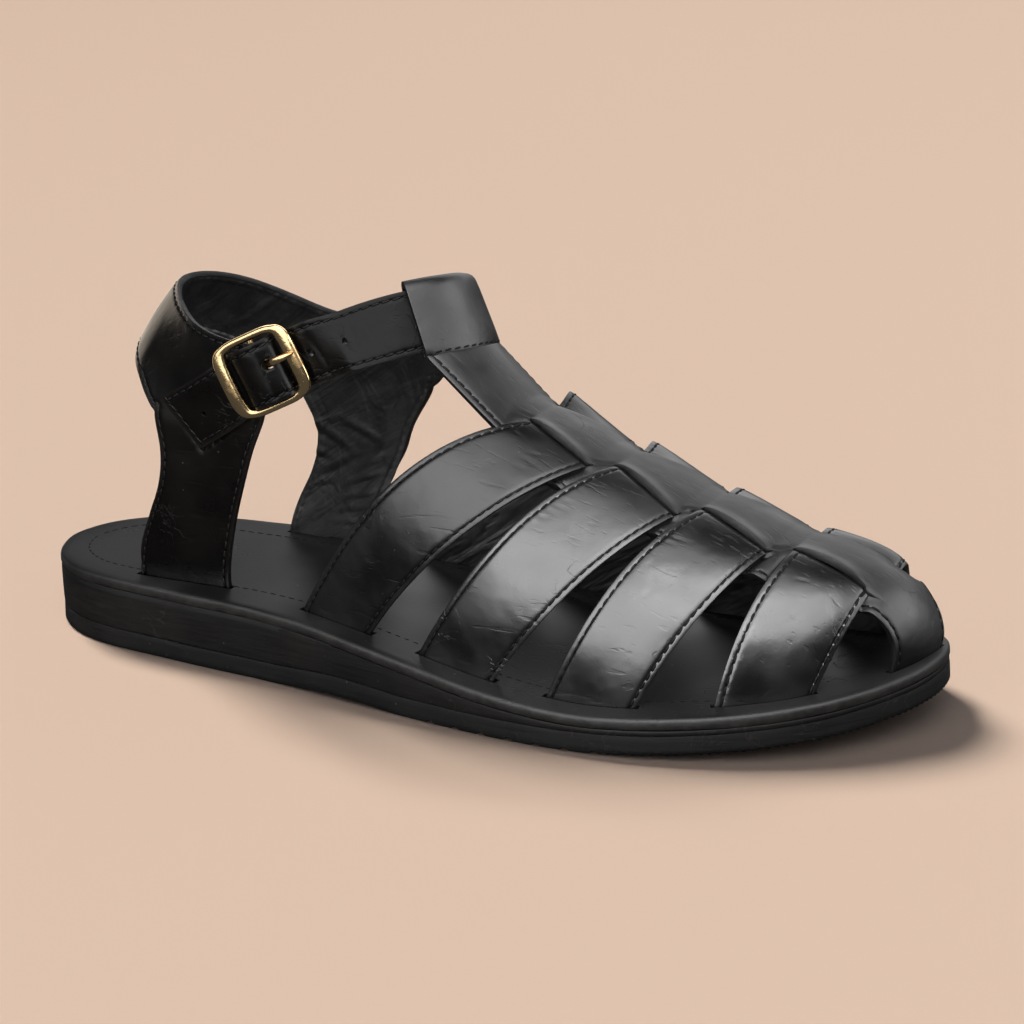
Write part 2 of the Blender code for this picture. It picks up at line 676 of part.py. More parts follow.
def build_quarter(shoe, cutters):
    """One leather wall: heel collar, both legs, ankle strap and the two lugs that hold the buckle."""
    rows = quarter_rows()
    vertices = [point for row in rows for point in row]
    faces = []
    width = len(rows[0])
    for i in range(len(rows) - 1):
        for j in range(width - 1):
            a = i * width + j
            faces.append((a, a + 1, a + width + 1, a + width))
    for start, stop, leg in LEG_STATIONS:
        start = int(start / STATION_STEP)
        stop = int(stop / STATION_STEP)
        previous = [i * width + width - 1 for i in range(start, stop + 1)]
        for rear, front in leg:
            first, second = (front, rear) if start == 0 else (rear, front)
            current = []
            for t in np.linspace(0.0, 1.0, stop - start + 1):
                current.append(len(vertices))
                vertices.append(np.array(first) * (1 - t) + np.array(second) * t)
            for i in range(stop - start):
                faces.append((previous[i], current[i], current[i + 1], previous[i + 1]))
            previous = current
    quarter = place("quarter", vertices, faces, shoe, "quarter")
    wall(quarter, QUARTER_LEATHER)
    upper_lug = (PRONG_ACROSS + LUG_GAP, LUG_REACH[1])
    lower_lug = (LUG_REACH[0], PRONG_ACROSS - LUG_GAP)
    for name, sides in (("lug_upper", upper_lug), ("lug_lower", lower_lug)):
        combine(quarter, grid(name, lug_rows(sides), cutters, LUG_THICK), "UNION")
    hole = []
    for t in (-4.0, 4.0):
        hole.append(buckle_point(PRONG_HOLE_AT[0] + t, PRONG_ACROSS, PRONG_HOLE_AT[1] + PRONG_HOLE_SLOPE * t))
    combine(quarter, tube("prong_hole", hole, PRONG_HOLE, cutters), "DIFFERENCE")
    return quarter


def lug_rows(sides):
    """Strip from inside the quarter's front edge, under the centre bar and up round it."""
    radius = BAR_RADIUS + PIECE_GAP + 0.5 * LUG_THICK
    path = list(LUG_PATH)
    for turn in LUG_TURNS:
        path.append((radius * sin(radians(turn)), CENTRE_BAR_DROP - radius * cos(radians(turn))))
    return [[buckle_point(a, b, c) for b in np.linspace(*sides, 3)] for a, c in path]


# ---------------------------------------------------------------- footbed slots
def slot_cutter(name, ends, thick, cutters):
    """Thin upright blade along a row of points on the footbed, a little longer than the strap."""
    ends = [np.asarray(p, float) for p in ends]
    first = ends[0] + unit(ends[0] - ends[1]) * SLOT_EXTRA
    last = ends[-1] + unit(ends[-1] - ends[-2]) * SLOT_EXTRA
    line = [first] + ends[1:-1] + [last]
    rows = [[p + np.array((0.0, 0.0, share * FOOTBED_THICK)) for p in line] for share in SLOT_DEPTH]
    return grid(name, rows, cutters, thick + 3.0 * PIECE_GAP)


def add_slots(footbed, cutters):
    for number, row in enumerate(STRAPS, 1):
        for side, angle in (("lateral", 0.0), ("medial", 180.0)):
            ends = [strap_point(row, angle, v) for v in ACROSS_STRAP]
            name = "slot_%s_%d" % (side, number)
            combine(footbed, slot_cutter(name, ends, LEATHER, cutters), "DIFFERENCE")
    for name, leg in (("slot_leg_lateral", LATERAL_LEG), ("slot_leg_medial", MEDIAL_LEG)):
        rear, front = (np.array(p) for p in leg[-2])
        blade = slot_cutter(name, [rear, 0.5 * (rear + front), front], QUARTER_LEATHER, cutters)
        combine(footbed, blade, "DIFFERENCE")
    ends = band_rows()[-2]
    ends = [ends[0], ends[2], ends[5], ends[8], ends[10]]
    combine(footbed, slot_cutter("slot_toe", ends, LEATHER, cutters), "DIFFERENCE")


# ---------------------------------------------------------------- buckle
def tube(name, points, radius, where):
    """Round bar along a path, made as a bevelled curve and turned into a mesh."""
    data = bpy.data.curves.new(name + "_path", "CURVE")
    data.dimensions = "3D"
    data.bevel_depth = radius * MM
    data.bevel_resolution = 2
    data.use_fill_caps = True
    line = data.splines.new("POLY")
    line.points.add(len(points) - 1)
    for knot, point in zip(line.points, points):
        knot.co = (*in_place(point), 1.0)
    path = bpy.data.objects.new(name + "_path", data)
    bpy.context.scene.collection.objects.link(path)
    bpy.context.view_layer.update()
    mesh = bpy.data.meshes.new_from_object(path.evaluated_get(bpy.context.evaluated_depsgraph_get()))
    bpy.data.objects.remove(path, do_unlink=True)
    mesh.name = name
    bm = bmesh.new()
    bm.from_mesh(mesh)
    bmesh.ops.remove_doubles(bm, verts=bm.verts, dist=0.002 * MM)
    bmesh.ops.recalc_face_normals(bm, faces=bm.faces)
    bm.to_mesh(mesh)
    bm.free()
    made = bpy.data.objects.new(name, mesh)
    where.objects.link(made)
    made.hide_render = True
    made.display_type = "WIRE"
    return made


def frame_outline(count=40):
    """Rounded rectangle of the buckle frame, at the middle of its bars."""
    half_long = 0.5 * (BUCKLE_LENGTH - FRAME_BAR)
    half_wide = 0.5 * (BUCKLE_WIDTH - FRAME_SIDE)
    points = []
    for t in np.linspace(0.0, 2.0 * pi, count, endpoint=False):
        c = cos(t)
        s = sin(t)
        a = half_long * np.sign(c) * abs(c) ** FRAME_SQUARE
        b = half_wide * np.sign(s) * abs(s) ** FRAME_SQUARE
        points.append((a, b))
    return points


def rounded_bar(name, knots, where, closed):
    """Bar with a rounded section.  Each knot: centre, direction of its width, of its thickness, half sizes."""
    vertices = []
    for centre, wide, thick, half_wide, half_thick in knots:
        for u, w in BAR_SECTION:
            vertices.append(centre + wide * u * half_wide + thick * w * half_thick)
    size = len(BAR_SECTION)
    count = len(knots)
    faces = []
    for k in range(count if closed else count - 1):
        n = (k + 1) % count
        for j in range(size):
            m = (j + 1) % size
            faces.append((k * size + j, n * size + j, n * size + m, k * size + m))
    if not closed:
        faces.append(tuple(range(size)))
        faces.append(tuple(range((count - 1) * size, count * size)))
    return place(name, vertices, faces, where, name)


def build_buckle(shoe, cutters):
    """Frame of flattened bars with a round centre bar let into its two sides, and the prong."""
    along, across, out = buckle_axes()
    ring = frame_outline()
    knots = []
    for k, (a, b) in enumerate(ring):
        ahead = np.array(ring[(k + 1) % len(ring)]) - np.array(ring[k - 1])
        normal = unit((ahead[1], -ahead[0]))
        end = blend((abs(a) / BUCKLE_LENGTH - FRAME_END_START) / FRAME_END_RISE)
        half_wide = 0.5 * (FRAME_SIDE + (FRAME_BAR - FRAME_SIDE) * end)
        crown = FRAME_BOW * (1.0 - (2.0 * b / BUCKLE_WIDTH) ** 2)
        wide = along * normal[0] + across * normal[1]
        knots.append((buckle_point(a, b, crown), wide, out, half_wide, 0.5 * FRAME_THICK))
    frame = rounded_bar("buckle_frame", knots, shoe, True)
    reach = 0.5 * (BUCKLE_WIDTH - FRAME_SIDE)
    ends = [buckle_point(0.0, b, CENTRE_BAR_DROP) for b in (-reach, reach)]
    combine(frame, tube("centre_bar", ends, BAR_RADIUS, cutters), "UNION")
    return frame, build_prong(shoe)


def build_prong(shoe):
    """Flat prong: an eye round the centre bar, then out through the strap to rest on the front bar."""
    along, across, out = buckle_axes()
    eye = BAR_RADIUS + PIECE_GAP + 0.5 * PRONG_THICK
    rest = FRAME_BOW + 0.5 * FRAME_THICK + 0.5 * PRONG_THICK + PIECE_GAP
    path = []
    for turn in PRONG_EYE_TURNS:
        path.append((eye * cos(radians(turn)), CENTRE_BAR_DROP + eye * sin(radians(turn)), 1.0))
    path += PRONG_PATH
    path += [(a, rest, size) for a, size in PRONG_POINT]
    knots = []
    for k, (a, c, size) in enumerate(path):
        last = path[max(k - 1, 0)]
        ahead = path[min(k + 1, len(path) - 1)]
        run = unit((ahead[0] - last[0], ahead[1] - last[1]))
        thick = out * run[0] - along * run[1]
        knots.append((buckle_point(a, PRONG_ACROSS, c), across, thick,
                      0.5 * PRONG_WIDTH * size, 0.5 * PRONG_THICK * (0.4 + 0.6 * size)))
    return rounded_bar("buckle_prong", knots, shoe, False)


# ---------------------------------------------------------------- build
def build():
    for thing in list(bpy.data.objects):
        bpy.data.objects.remove(thing, do_unlink=True)
    shoe = collection("fisherman_sandal")
    cutters = collection("cutters")
    outsole, wedge, footbed = build_sole(shoe, cutters)
    add_slots(footbed, cutters)
    upper = build_upper(shoe, cutters)
    quarter = build_quarter(shoe, cutters)
    frame, prong = build_buckle(shoe, cutters)
    for thing in (outsole, wedge, footbed, upper, quarter, frame, prong):
        shade_smooth(thing)


build()
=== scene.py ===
"""Looks of a fisherman sandal, right shoe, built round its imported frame.

The frame is in metres: +X to the toe, +Y to the medial side, +Z up, sole on z = 0.  The tables of the last
and of the cut leather are in millimetres, with x counted from the heel end of the sole, and HEEL_END puts
them in place.
"""
import json
from math import cos, pi, radians, sin

import bmesh
import bpy
import numpy as np
from mathutils import Matrix, Vector

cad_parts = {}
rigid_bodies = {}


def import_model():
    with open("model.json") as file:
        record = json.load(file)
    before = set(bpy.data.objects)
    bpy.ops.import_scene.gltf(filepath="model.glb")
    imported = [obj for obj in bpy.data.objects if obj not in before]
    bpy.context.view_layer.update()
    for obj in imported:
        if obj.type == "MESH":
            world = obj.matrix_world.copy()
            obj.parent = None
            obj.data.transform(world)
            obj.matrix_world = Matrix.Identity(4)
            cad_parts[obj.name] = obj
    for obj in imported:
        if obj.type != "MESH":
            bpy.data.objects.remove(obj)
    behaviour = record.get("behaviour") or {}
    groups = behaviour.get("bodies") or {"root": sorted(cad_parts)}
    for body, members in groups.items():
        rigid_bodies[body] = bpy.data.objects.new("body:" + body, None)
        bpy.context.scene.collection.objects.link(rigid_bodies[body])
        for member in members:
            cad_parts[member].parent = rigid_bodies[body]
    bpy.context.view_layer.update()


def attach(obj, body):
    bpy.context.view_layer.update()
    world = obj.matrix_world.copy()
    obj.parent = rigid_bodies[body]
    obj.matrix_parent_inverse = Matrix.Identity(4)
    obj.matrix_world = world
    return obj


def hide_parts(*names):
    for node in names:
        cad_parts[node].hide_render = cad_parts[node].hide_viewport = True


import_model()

MM = 0.001
HEEL_END = (-145.17, 2.94, 0.0)

# ------------------------------------------------------------------ camera and studio
CAMERA_PLACE = Vector((0.4541096, -0.7992185, 0.3458863))
CAMERA_TARGET = Vector((0.0112912, 0.0086925, 0.0467626))
CAMERA_ROLL = -2.1136
CAMERA_LENS, SENSOR_WIDTH = 114.2, 36.0
LIGHTS_AIM = Vector((0.0, 0.0, 0.05))
KEY_PLACE, KEY_POWER, KEY_WIDTH = (-1.19, 0.63, 1.53), 3.12, 20.0
SKY_COLOUR, SKY_POWER = (0.93, 0.94, 1.0, 1.0), 0.08
FLOOR_SIZE, FLOOR_COLOURS = 12.0, ((0.83, 0.605, 0.46), (0.85, 0.62, 0.47))
WARM_LIGHT = (1.0, 0.86, 0.7)

# Soft panels, seen only as a sheen: name, place, size, turn, then their power on the straps and the sole,
# on the vamp band, and on the quarter and the buckle.
PANELS = [
    ("rear_panel", (0.15, 1.5, 0.85), (2.5, 1.2), 0.0, 21.0, 19.5, 0.0),
    ("collar_panel", (-0.5, 1.46, 0.95), (2.0, 1.0), 0.0, 0.0, 0.0, 14.0),
    ("front_panel", (-0.2, -1.44, 0.72), (1.63, 1.63), -14.0, 145.0, 145.0, 16.0),
    ("side_panel", (0.84, -0.76, 1.18), (1.4, 1.4), 0.0, 108.0, 64.0, 9.0),
    ("top_panel", (0.1, -0.35, 1.6), (1.5, 1.1), 0.0, 34.0, 36.0, 14.0),
    ("toe_panel", (1.35, 0.45, 0.55), (1.4, 1.1), 0.0, 36.0, 50.0, 20.0),
    ("heel_panel", (-1.32, 0.75, 0.1), (1.7, 1.3), 0.0, 0.0, 0.0, 11.0),
]

# ------------------------------------------------------------------ sole
SOLE_LENGTH = 290.0
OUTSOLE_THICK = 6.0
FOOTBED_THICK = 3.4
HEEL_HEIGHT = 22.7
BALL_HEIGHT = 11.2
WEDGE_START, WEDGE_END = 83.0, 212.0
SPRING_START, SPRING_RISE = 197.0, 7.2
ARCH_RISE, ARCH_SPAN = 1.0, (96.0, 150.0)
LAYER_GAP, WEDGE_RAISE = 0.3, (0.12, 0.15)
SLOT_INSET = 8.6
SLOT_EXTRA, SLOT_CLEARANCE = 1.3, 0.35
SLOT_BOTTOM, SLOT_TOP = -2.6, 2.0
SMOOTH_ANGLE = 40.0

# Cross grooves of the tread, heel and forefoot: first x, number, half length.
TREAD = [(16.0, 5, 20.0), (158.0, 13, 70.0)]
GROOVE_PITCH, GROOVE_DEPTH, GROOVE_WIDTH, GROOVE_FLOOR = 9.0, 1.3, 2.4, 0.5
RIPPLE_PITCH, RIPPLE_DEPTH, RIPPLE_START, RIPPLE_FADE = 2.4, 0.5, 205.0, 25.0

# Sole outline, heel round the lateral side to the toe and back: x along, y across.
OUTLINE = [
    (0.0, 0.0), (6.8, -18.2), (25.0, -30.4), (60.0, -36.6), (100.0, -41.3), (139.0, -48.0),
    (179.0, -53.8), (214.0, -53.4), (244.0, -45.4), (268.5, -31.3), (283.0, -13.6), (290.0, 6.0),
    (287.6, 25.5), (273.0, 38.6), (247.0, 45.0), (215.5, 48.4), (180.0, 47.2), (140.0, 39.4),
    (100.0, 34.2), (60.0, 33.8), (25.0, 29.0), (7.0, 17.7),
]

# Sides of the sole's layers, ring by ring from the bottom.
# Outsole: distance in, height, share of the ripple.
OUTSOLE_SIDE = [
    (1.2, 0.0, 0.4), (0.3, 0.25, 1.0), (0.0, 0.9, 0.7), (0.0, 2.0, 0.1),
    (0.1, 4.2, 0.0), (0.15, 5.5, 0.0), (0.25, 5.95, 0.0), (0.6, 6.1, 0.0),
]
# Wedge: distance in, share of its height.
WEDGE_SIDE = [(0.7, 0.0), (0.3, 0.03), (0.2, 0.15), (0.14, 0.5), (0.16, 0.85), (0.25, 0.97), (0.6, 1.0)]
# Footbed: distance in, depth below its top, share of its unevenness.
FOOTBED_SIDE = [
    (0.6, 3.4, 0.0), (0.2, 3.25, 0.6), (0.0, 2.6, 0.6), (0.05, 1.2, 0.5),
    (0.2, 0.55, 0.3), (0.55, 0.15, 0.1), (1.1, 0.0, 0.0), (3.0, 0.0, 0.0),
]
OUTSOLE_POINTS, LAYER_POINTS, SEAM_POINTS = 1160, 560, 700

# Footbed stitch line: station x, distance in from the edge.
FOOTBED_SEAM = [
    (0.0, 9.0), (20.0, 9.5), (60.0, 12.5), (100.0, 14.0), (200.0, 14.5), (262.0, 14.0), (290.0, 13.0),
]

# ------------------------------------------------------------------ last and straps
LEATHER = 2.2
QUARTER_LEATHER = 2.0
PIECE_GAP = 0.3
SECTION_POWER = 2.3
STRAP_WIDTH, STRAP_DIP, STRAP_CROWN, STRAP_CROSSING = 25.0, 2.6, 0.3, 1.8
SPINE_LEVEL, SPINE_LIFT, LIP_LIFT = -1.55, 0.7, (1.6, 0.5)
MARGIN_DROP, NARROWEST_MARGIN = 1.9, 4.8
MARGIN_FADE = (3.5, 3.5, 3.5, 10.0)
MEDIAL_TURN, PUFF_RISE, PUFF_FALL = 2.0, 0.5, 0.22
SEAM_INSET, SEAM_DEPTH, SEAM_WIDTH = 1.6, 0.4, 0.55
EDGE_ROLL, EDGE_ROLL_WIDTH, EDGE_BEVEL = 0.22, 0.8, 0.3
SEAM_STEPS = [0.0, 0.45, 0.9, 1.25, 1.55, 1.8, 2.0, 2.2, 2.45, 2.8, 3.3, 4.0]
CREASE_BOW, CREASE_REACH = 0.06, 6.0
CREASE_RIDGE, CREASE_RIDGE_PLACE = 0.45, 1.7
STITCH_PITCH, STITCH_LENGTH = 3.1, 2.75
SLIT_CLOSED, SLIT_OPEN, SLIT_TAIL, LIP_WIDTH = 0.12, 0.5, 0.9, 3.0

# Foot shape: x, centre line y, ridge height z.
RIDGE = [
    (100.0, -2.0, 132.0), (130.0, -1.6, 110.0), (150.0, -1.0, 95.0), (171.0, -0.3, 82.5),
    (198.0, 1.7, 70.5), (223.0, 3.8, 60.5), (251.0, 6.9, 51.0), (275.0, 9.0, 43.5), (288.0, 9.5, 38.0),
]

# Cross straps, rear to front.  Slot ends on the footbed and slit ends in the vamp band, all x;
# then the half spacing of the two slits at their rear and front ends.
STRAPS = [
    # lateral slot     slit in band     medial slot      half spacing
    (106.0, 131.0, 171.5, 191.5, 113.0, 142.0, 8.3, 14.2),
    (149.5, 175.5, 198.0, 219.0, 152.5, 179.0, 7.6, 16.6),
    (193.5, 220.0, 224.0, 245.5, 201.0, 228.0, 8.0, 15.2),
    (241.5, 265.0, 251.5, 273.5, 244.5, 267.5, 8.8, 12.0),
]

# How far each strap stands off the foot past its medial slit, at its rear and front edge.
STRAP_PUFF = [(6.0, 0.6), (3.6, 0.6), (2.2, 0.8), (2.4, 5.5)]

# Creases of each strap: share along it from the lateral slot, share across from its rear edge, heading in
# degrees from its length, half length, half width, depth.
STRAP_CREASES = [
    [(0.33, 0.62, 64.0, 4.0, 0.4, 0.12), (0.35, 0.6, 58.0, 4.5, 0.4, 0.14),
     (0.37, 0.58, 50.0, 4.0, 0.4, 0.12), (0.24, 0.45, 20.0, 7.0, 0.5, 0.08),
     (0.39, 0.3, 78.0, 4.5, 0.5, 0.12)],
    [(0.315, 0.27, 74.0, 4.0, 0.38, 0.16), (0.30, 0.27, 70.0, 5.0, 0.4, 0.2),
     (0.286, 0.26, 66.0, 5.5, 0.4, 0.2), (0.272, 0.25, 60.0, 5.0, 0.38, 0.18),
     (0.258, 0.23, 54.0, 4.5, 0.38, 0.15), (0.245, 0.22, 46.0, 4.0, 0.36, 0.12),
     (0.35, 0.2, 84.0, 4.0, 0.45, 0.12), (0.2, 0.6, 24.0, 8.0, 0.5, 0.07)],
    [(0.34, 0.3, 72.0, 4.0, 0.4, 0.12), (0.325, 0.28, 66.0, 4.0, 0.4, 0.1),
     (0.2, 0.4, 16.0, 8.0, 0.5, 0.08), (0.25, 0.66, -30.0, 5.0, 0.45, 0.08)],
    [(0.33, 0.4, 68.0, 3.5, 0.4, 0.1), (0.22, 0.5, 30.0, 6.0, 0.5, 0.07)],
]

# Tension folds that fan out from the ends of the slits: heading in degrees, half length, depth.
SLIT_FOLDS = [(20.0, 5.0, 0.12), (48.0, 4.0, 0.09), (-12.0, 3.5, 0.08)]

# Vamp band forward of the loop: x, half width.
BAND = [
    (150.0, 15.2), (160.0, 16.6), (167.0, 18.6), (173.0, 21.5), (182.0, 24.3), (200.0, 25.0), (222.0, 25.0),
    (246.0, 24.4), (258.0, 22.0), (268.0, 18.6), (276.0, 15.6), (281.0, 13.8),
]

# Toe end of the band: centre x, centre y, z, half width, turn in degrees.
TOE_END = [
    (279.6, 8.2, 38.4, 14.2, 6.0), (283.2, 8.3, 33.2, 13.2, 8.0), (285.2, 8.4, 27.5, 12.5, 10.0),
    (285.7, 8.4, 22.0, 12.2, 12.0), (285.0, 8.4, 18.2, 12.0, 13.0), (284.8, 8.4, 15.2, 12.0, 13.0),
]
TOE_BOW, TOE_FALL = 0.010, 0.018
T_WIDTH = 28.0
LOOP_MIDDLE, LOOP_STATIONS, LOOP_COLUMN = 21.7, 3.8, 9.0

# Loop round the ankle strap: distance past the strap's edge (minus at the upper edge, 0 at its middle),
# then distance out of the strap's middle in clearances.
LOOP_PROFILE = [
    (1.4, -1.0), (0.1, -1.05), (0.0, -1.05), (-0.1, -1.05), (-1.4, -0.7), (-2.0, 0.0), (-1.4, 0.75),
    (-0.1, 1.1), (0.0, 1.15), (0.1, 1.1), (1.6, 1.0), (1.8, 0.98),
]
T_STATION, BAND_END = 166.0, 272.6

# ------------------------------------------------------------------ heel quarter and ankle strap
# Upper edge point and lower edge point of each station, buckle round the heel to the front and back.
QUARTER = [
    ((87.6, -25.8, 100.0), (91.8, -26.4, 78.5)),
    ((80.5, -25.2, 100.4), (84.5, -26.8, 76.4)),
    ((72.5, -23.6, 101.6), (74.5, -27.2, 74.4)),
    ((64.5, -20.2, 103.6), (64.0, -27.4, 73.4)),
    ((57.0, -14.2, 106.4), (53.2, -26.8, 76.2)),
    ((52.0, -8.4, 108.2), (45.6, -22.6, 85.4)),
    ((47.4, -0.8, 109.4), (39.4, -14.4, 89.8)),
    ((45.6, 6.4, 109.6), (36.2, -4.8, 91.8)),
    ((47.0, 13.6, 109.0), (35.8, 5.4, 91.4)),
    ((50.6, 20.0, 107.4), (39.6, 15.6, 88.8)),
    ((56.2, 25.0, 105.0), (47.8, 24.0, 84.0)),
    ((63.4, 28.0, 102.0), (58.6, 28.8, 77.4)),
    ((71.0, 29.4, 99.2), (68.6, 30.2, 70.4)),
    ((79.0, 30.0, 96.6), (79.5, 30.9, 68.0)),
    ((87.8, 30.0, 95.1), (92.0, 31.2, 67.5)),
    ((97.1, 29.8, 96.0), (105.0, 31.3, 69.6)),
    ((106.7, 29.0, 98.7), (116.8, 30.8, 75.0)),
    ((116.7, 26.8, 102.5), (123.2, 29.6, 81.6)),
    ((126.1, 23.4, 106.7), (131.0, 26.2, 87.6)),
    ((134.1, 18.6, 110.5), (139.4, 20.6, 92.4)),
    ((139.4, 12.4, 113.6), (145.9, 13.4, 96.2)),
    ((141.1, 5.0, 115.8), (148.2, 5.0, 98.6)),
    ((140.1, -2.2, 116.9), (147.4, -3.6, 99.8)),
    ((136.6, -8.4, 117.0), (143.7, -11.0, 100.1)),
    ((130.6, -13.9, 116.0), (138.0, -17.1, 99.2)),
    ((123.0, -18.0, 113.8), (130.8, -21.4, 97.5)),
    ((114.0, -21.0, 110.4), (122.2, -24.4, 94.9)),
]
COLLAR_BOW, STRAP_BOW, COLLAR_END, COLLAR_FADE = 0.8, 0.1, 20.0, 6.0
ANKLE_X, ANKLE_WIDENING, QUARTER_WIDTH = 84.0, 1.6, 21.0

# Legs of the quarter down to the footbed: rear edge point and front edge point, top to bottom.
LATERAL_LEG = [
    ((54.9, -27.6, 64.0), (86.8, -26.8, 67.0)),
    ((53.6, -27.8, 54.0), (83.4, -27.0, 57.0)),
    ((49.4, -27.4, 44.0), (79.9, -27.0, 46.0)),
    ((45.0, -26.6, 34.0), (77.0, -26.6, 35.0)),
    ((43.2, -26.0, 27.0), (75.6, -26.4, 27.0)),
    ((43.0, -25.8, 22.9), (75.6, -26.4, 22.7)),
    ((43.0, -25.8, 19.8), (75.6, -26.4, 19.6)),
]
MEDIAL_LEG = [
    ((74.2, 30.4, 59.0), (109.0, 31.2, 62.0)),
    ((74.4, 30.2, 51.0), (105.6, 31.0, 53.0)),
    ((72.0, 29.8, 43.0), (101.4, 30.4, 44.0)),
    ((67.6, 28.8, 34.0), (97.6, 29.0, 35.0)),
    ((65.2, 27.6, 27.0), (96.0, 27.8, 27.0)),
    ((64.8, 27.2, 22.7), (96.0, 27.2, 22.4)),
    ((64.8, 27.2, 19.6), (96.0, 27.2, 19.3)),
]

# Folds of the quarter: place, heading in degrees from its length, half length, half width, depth.
QUARTER_FOLDS = [
    (80.0, 30.0, 57.0, -36.0, 13.0, 1.3, 0.5), (91.0, 31.0, 60.0, -28.0, 11.0, 1.2, 0.5),
    (99.0, 31.0, 55.0, 38.0, 8.0, 1.0, 0.45), (95.0, 31.0, 49.5, 26.0, 10.0, 1.0, 0.5),
    (92.0, 30.0, 44.0, 18.0, 11.0, 0.9, 0.5), (90.0, 30.0, 38.5, 14.0, 10.0, 0.9, 0.45),
    (88.0, 29.0, 33.5, 10.0, 10.0, 0.8, 0.4), (82.0, 30.0, 47.0, 32.0, 8.0, 0.9, 0.4),
    (76.0, 29.0, 40.0, 14.0, 7.0, 0.8, 0.35), (85.0, 28.0, 28.5, 6.0, 9.0, 0.7, 0.3),
    (72.0, 30.0, 51.0, 62.0, 8.0, 1.1, 0.4), (58.0, -27.0, 41.0, 20.0, 8.0, 0.6, 0.14),
    (63.0, -27.0, 37.0, -14.0, 8.0, 0.55, 0.14), (54.0, -27.0, 47.0, 34.0, 7.0, 0.6, 0.12),
    (67.0, -27.0, 45.0, 10.0, 8.0, 0.6, 0.12), (60.0, -27.0, 31.0, 8.0, 9.0, 0.6, 0.12),
    (112.0, -27.5, 99.0, 78.0, 7.0, 0.8, 0.22), (109.5, -27.5, 97.0, 96.0, 6.0, 0.7, 0.16),
    (119.0, -23.0, 103.0, 66.0, 7.0, 0.8, 0.22), (121.5, -22.0, 104.0, 84.0, 6.0, 0.7, 0.16),
    (126.0, -19.0, 106.0, 74.0, 6.0, 0.7, 0.14),
]

# ------------------------------------------------------------------ buckle
BUCKLE_CENTRE = np.array((94.7, -30.6, 93.6))
BUCKLE_ALONG = np.array((0.885, 0.185, 0.425))
BUCKLE_OUT = np.array((0.203, -0.979, 0.02))
BUCKLE_LENGTH, BUCKLE_WIDTH = 27.0, 24.4
FRAME_BAR, FRAME_SIDE, FRAME_THICK, FRAME_BOW, FRAME_POWER = 4.4, 2.4, 2.2, 0.9, 0.42
FRAME_END_START, FRAME_END_FADE = 0.30, 0.12
CENTRE_BAR_DROP, BAR_RADIUS = -1.2, 1.0
PRONG_THICK, PRONG_WIDTH, PRONG_ACROSS = 1.5, 2.4, 1.5
LUG_THICK, LUG_REACH, LUG_GAP = 1.6, (-8.4, 8.2), 2.2
STRAP_HALF, WINDOW_HALF = 9.1, 9.3

# Lugs before they reach the centre bar: along and level of their root, then the place of the bend along and
# how far it hangs below the hook.
LUG_ROOT, LUG_BEND = [(-9.5, -4.9), (-6.5, -4.6)], (-3.0, 0.5)

# Strap through the buckle: distance along, level out of the buckle plane, offset across, lead of its upper
# edge.
BUCKLE_RUN = [
    (19.5, -3.1, -1.2, 0.0), (16.0, -3.2, -1.0, 0.0), (12.0, -3.2, -0.8, 0.0), (9.0, -2.5, -0.6, 0.0),
    (7.2, -0.9, -0.5, 0.0), (5.4, 1.7, -0.5, 0.0), (2.6, 3.6, -0.5, 0.0), (0.0, 4.0, -0.5, 0.0),
    (-2.8, 3.5, -0.5, 0.0), (-5.6, 1.5, -0.6, 0.0), (-7.4, -1.1, -0.7, 0.0), (-9.2, -2.5, -1.0, 0.0),
    (-12.0, -3.1, -1.7, 0.0), (-16.0, -3.4, -2.5, -0.4), (-20.0, -4.2, -3.1, -0.8), (-25.0, -5.3, -3.7, -1.3),
    (-30.0, -6.5, -4.1, -1.8), (-35.0, -7.6, -4.6, -2.2),
]

# Holes in the ankle strap: along, across, level, radius.
STRAP_HOLES = [
    (15.7, -1.1, -3.2, 0.9), (27.0, -2.2, -3.0, 0.8), (-25.5, -4.6, -5.4, 0.6), (4.4, 1.5, 2.6, 1.7),
]

# Prong between the centre bar and the front bar: along, level, share of its full size.
PRONG_RISE = [(2.6, 1.3, 1.0), (4.4, 2.4, 1.0), (6.4, 3.1, 0.95), (8.4, 3.2, 0.9)]
PRONG_TIP = [(10.6, 0.7), (12.7, 0.15)]


# ------------------------------------------------------------------ curves and tables
def cubic(start, start_slope, end, end_slope, t):
    """Curve from start to end with a slope at each, t running from 0 to 1."""
    return (start * (1 + 2 * t) * (1 - t) ** 2 + start_slope * t * (1 - t) ** 2
            + end * t * t * (3 - 2 * t) + end_slope * t * t * (t - 1))


def hermite(knots, values, at):
    """Smooth curve through table values that never overshoots between two rows."""
    knots = np.asarray(knots, float)
    values = np.asarray(values, float)
    at = np.clip(np.asarray(at, float), knots[0], knots[-1])
    step = np.diff(knots)
    slope = np.diff(values) / step
    tangent = np.zeros_like(values)
    tangent[0] = slope[0]
    tangent[-1] = slope[-1]
    for i in range(1, len(values) - 1):
        if slope[i - 1] * slope[i] > 0.0:
            tangent[i] = 2.0 * slope[i - 1] * slope[i] / (slope[i - 1] + slope[i])
    i = np.clip(np.searchsorted(knots, at, side="right") - 1, 0, len(step) - 1)
    t = (at - knots[i]) / step[i]
    return cubic(values[i], tangent[i] * step[i], values[i + 1], tangent[i + 1] * step[i], t)


def ramp(x, low, high):
    """Share of the way from low to high, from 0 to 1."""
    return np.clip((x - low) / (high - low), 0.0, 1.0)


def blend(t):
    """Smooth step from 0 to 1."""
    t = np.clip(t, 0.0, 1.0)
    return t * t * (3.0 - 2.0 * t)


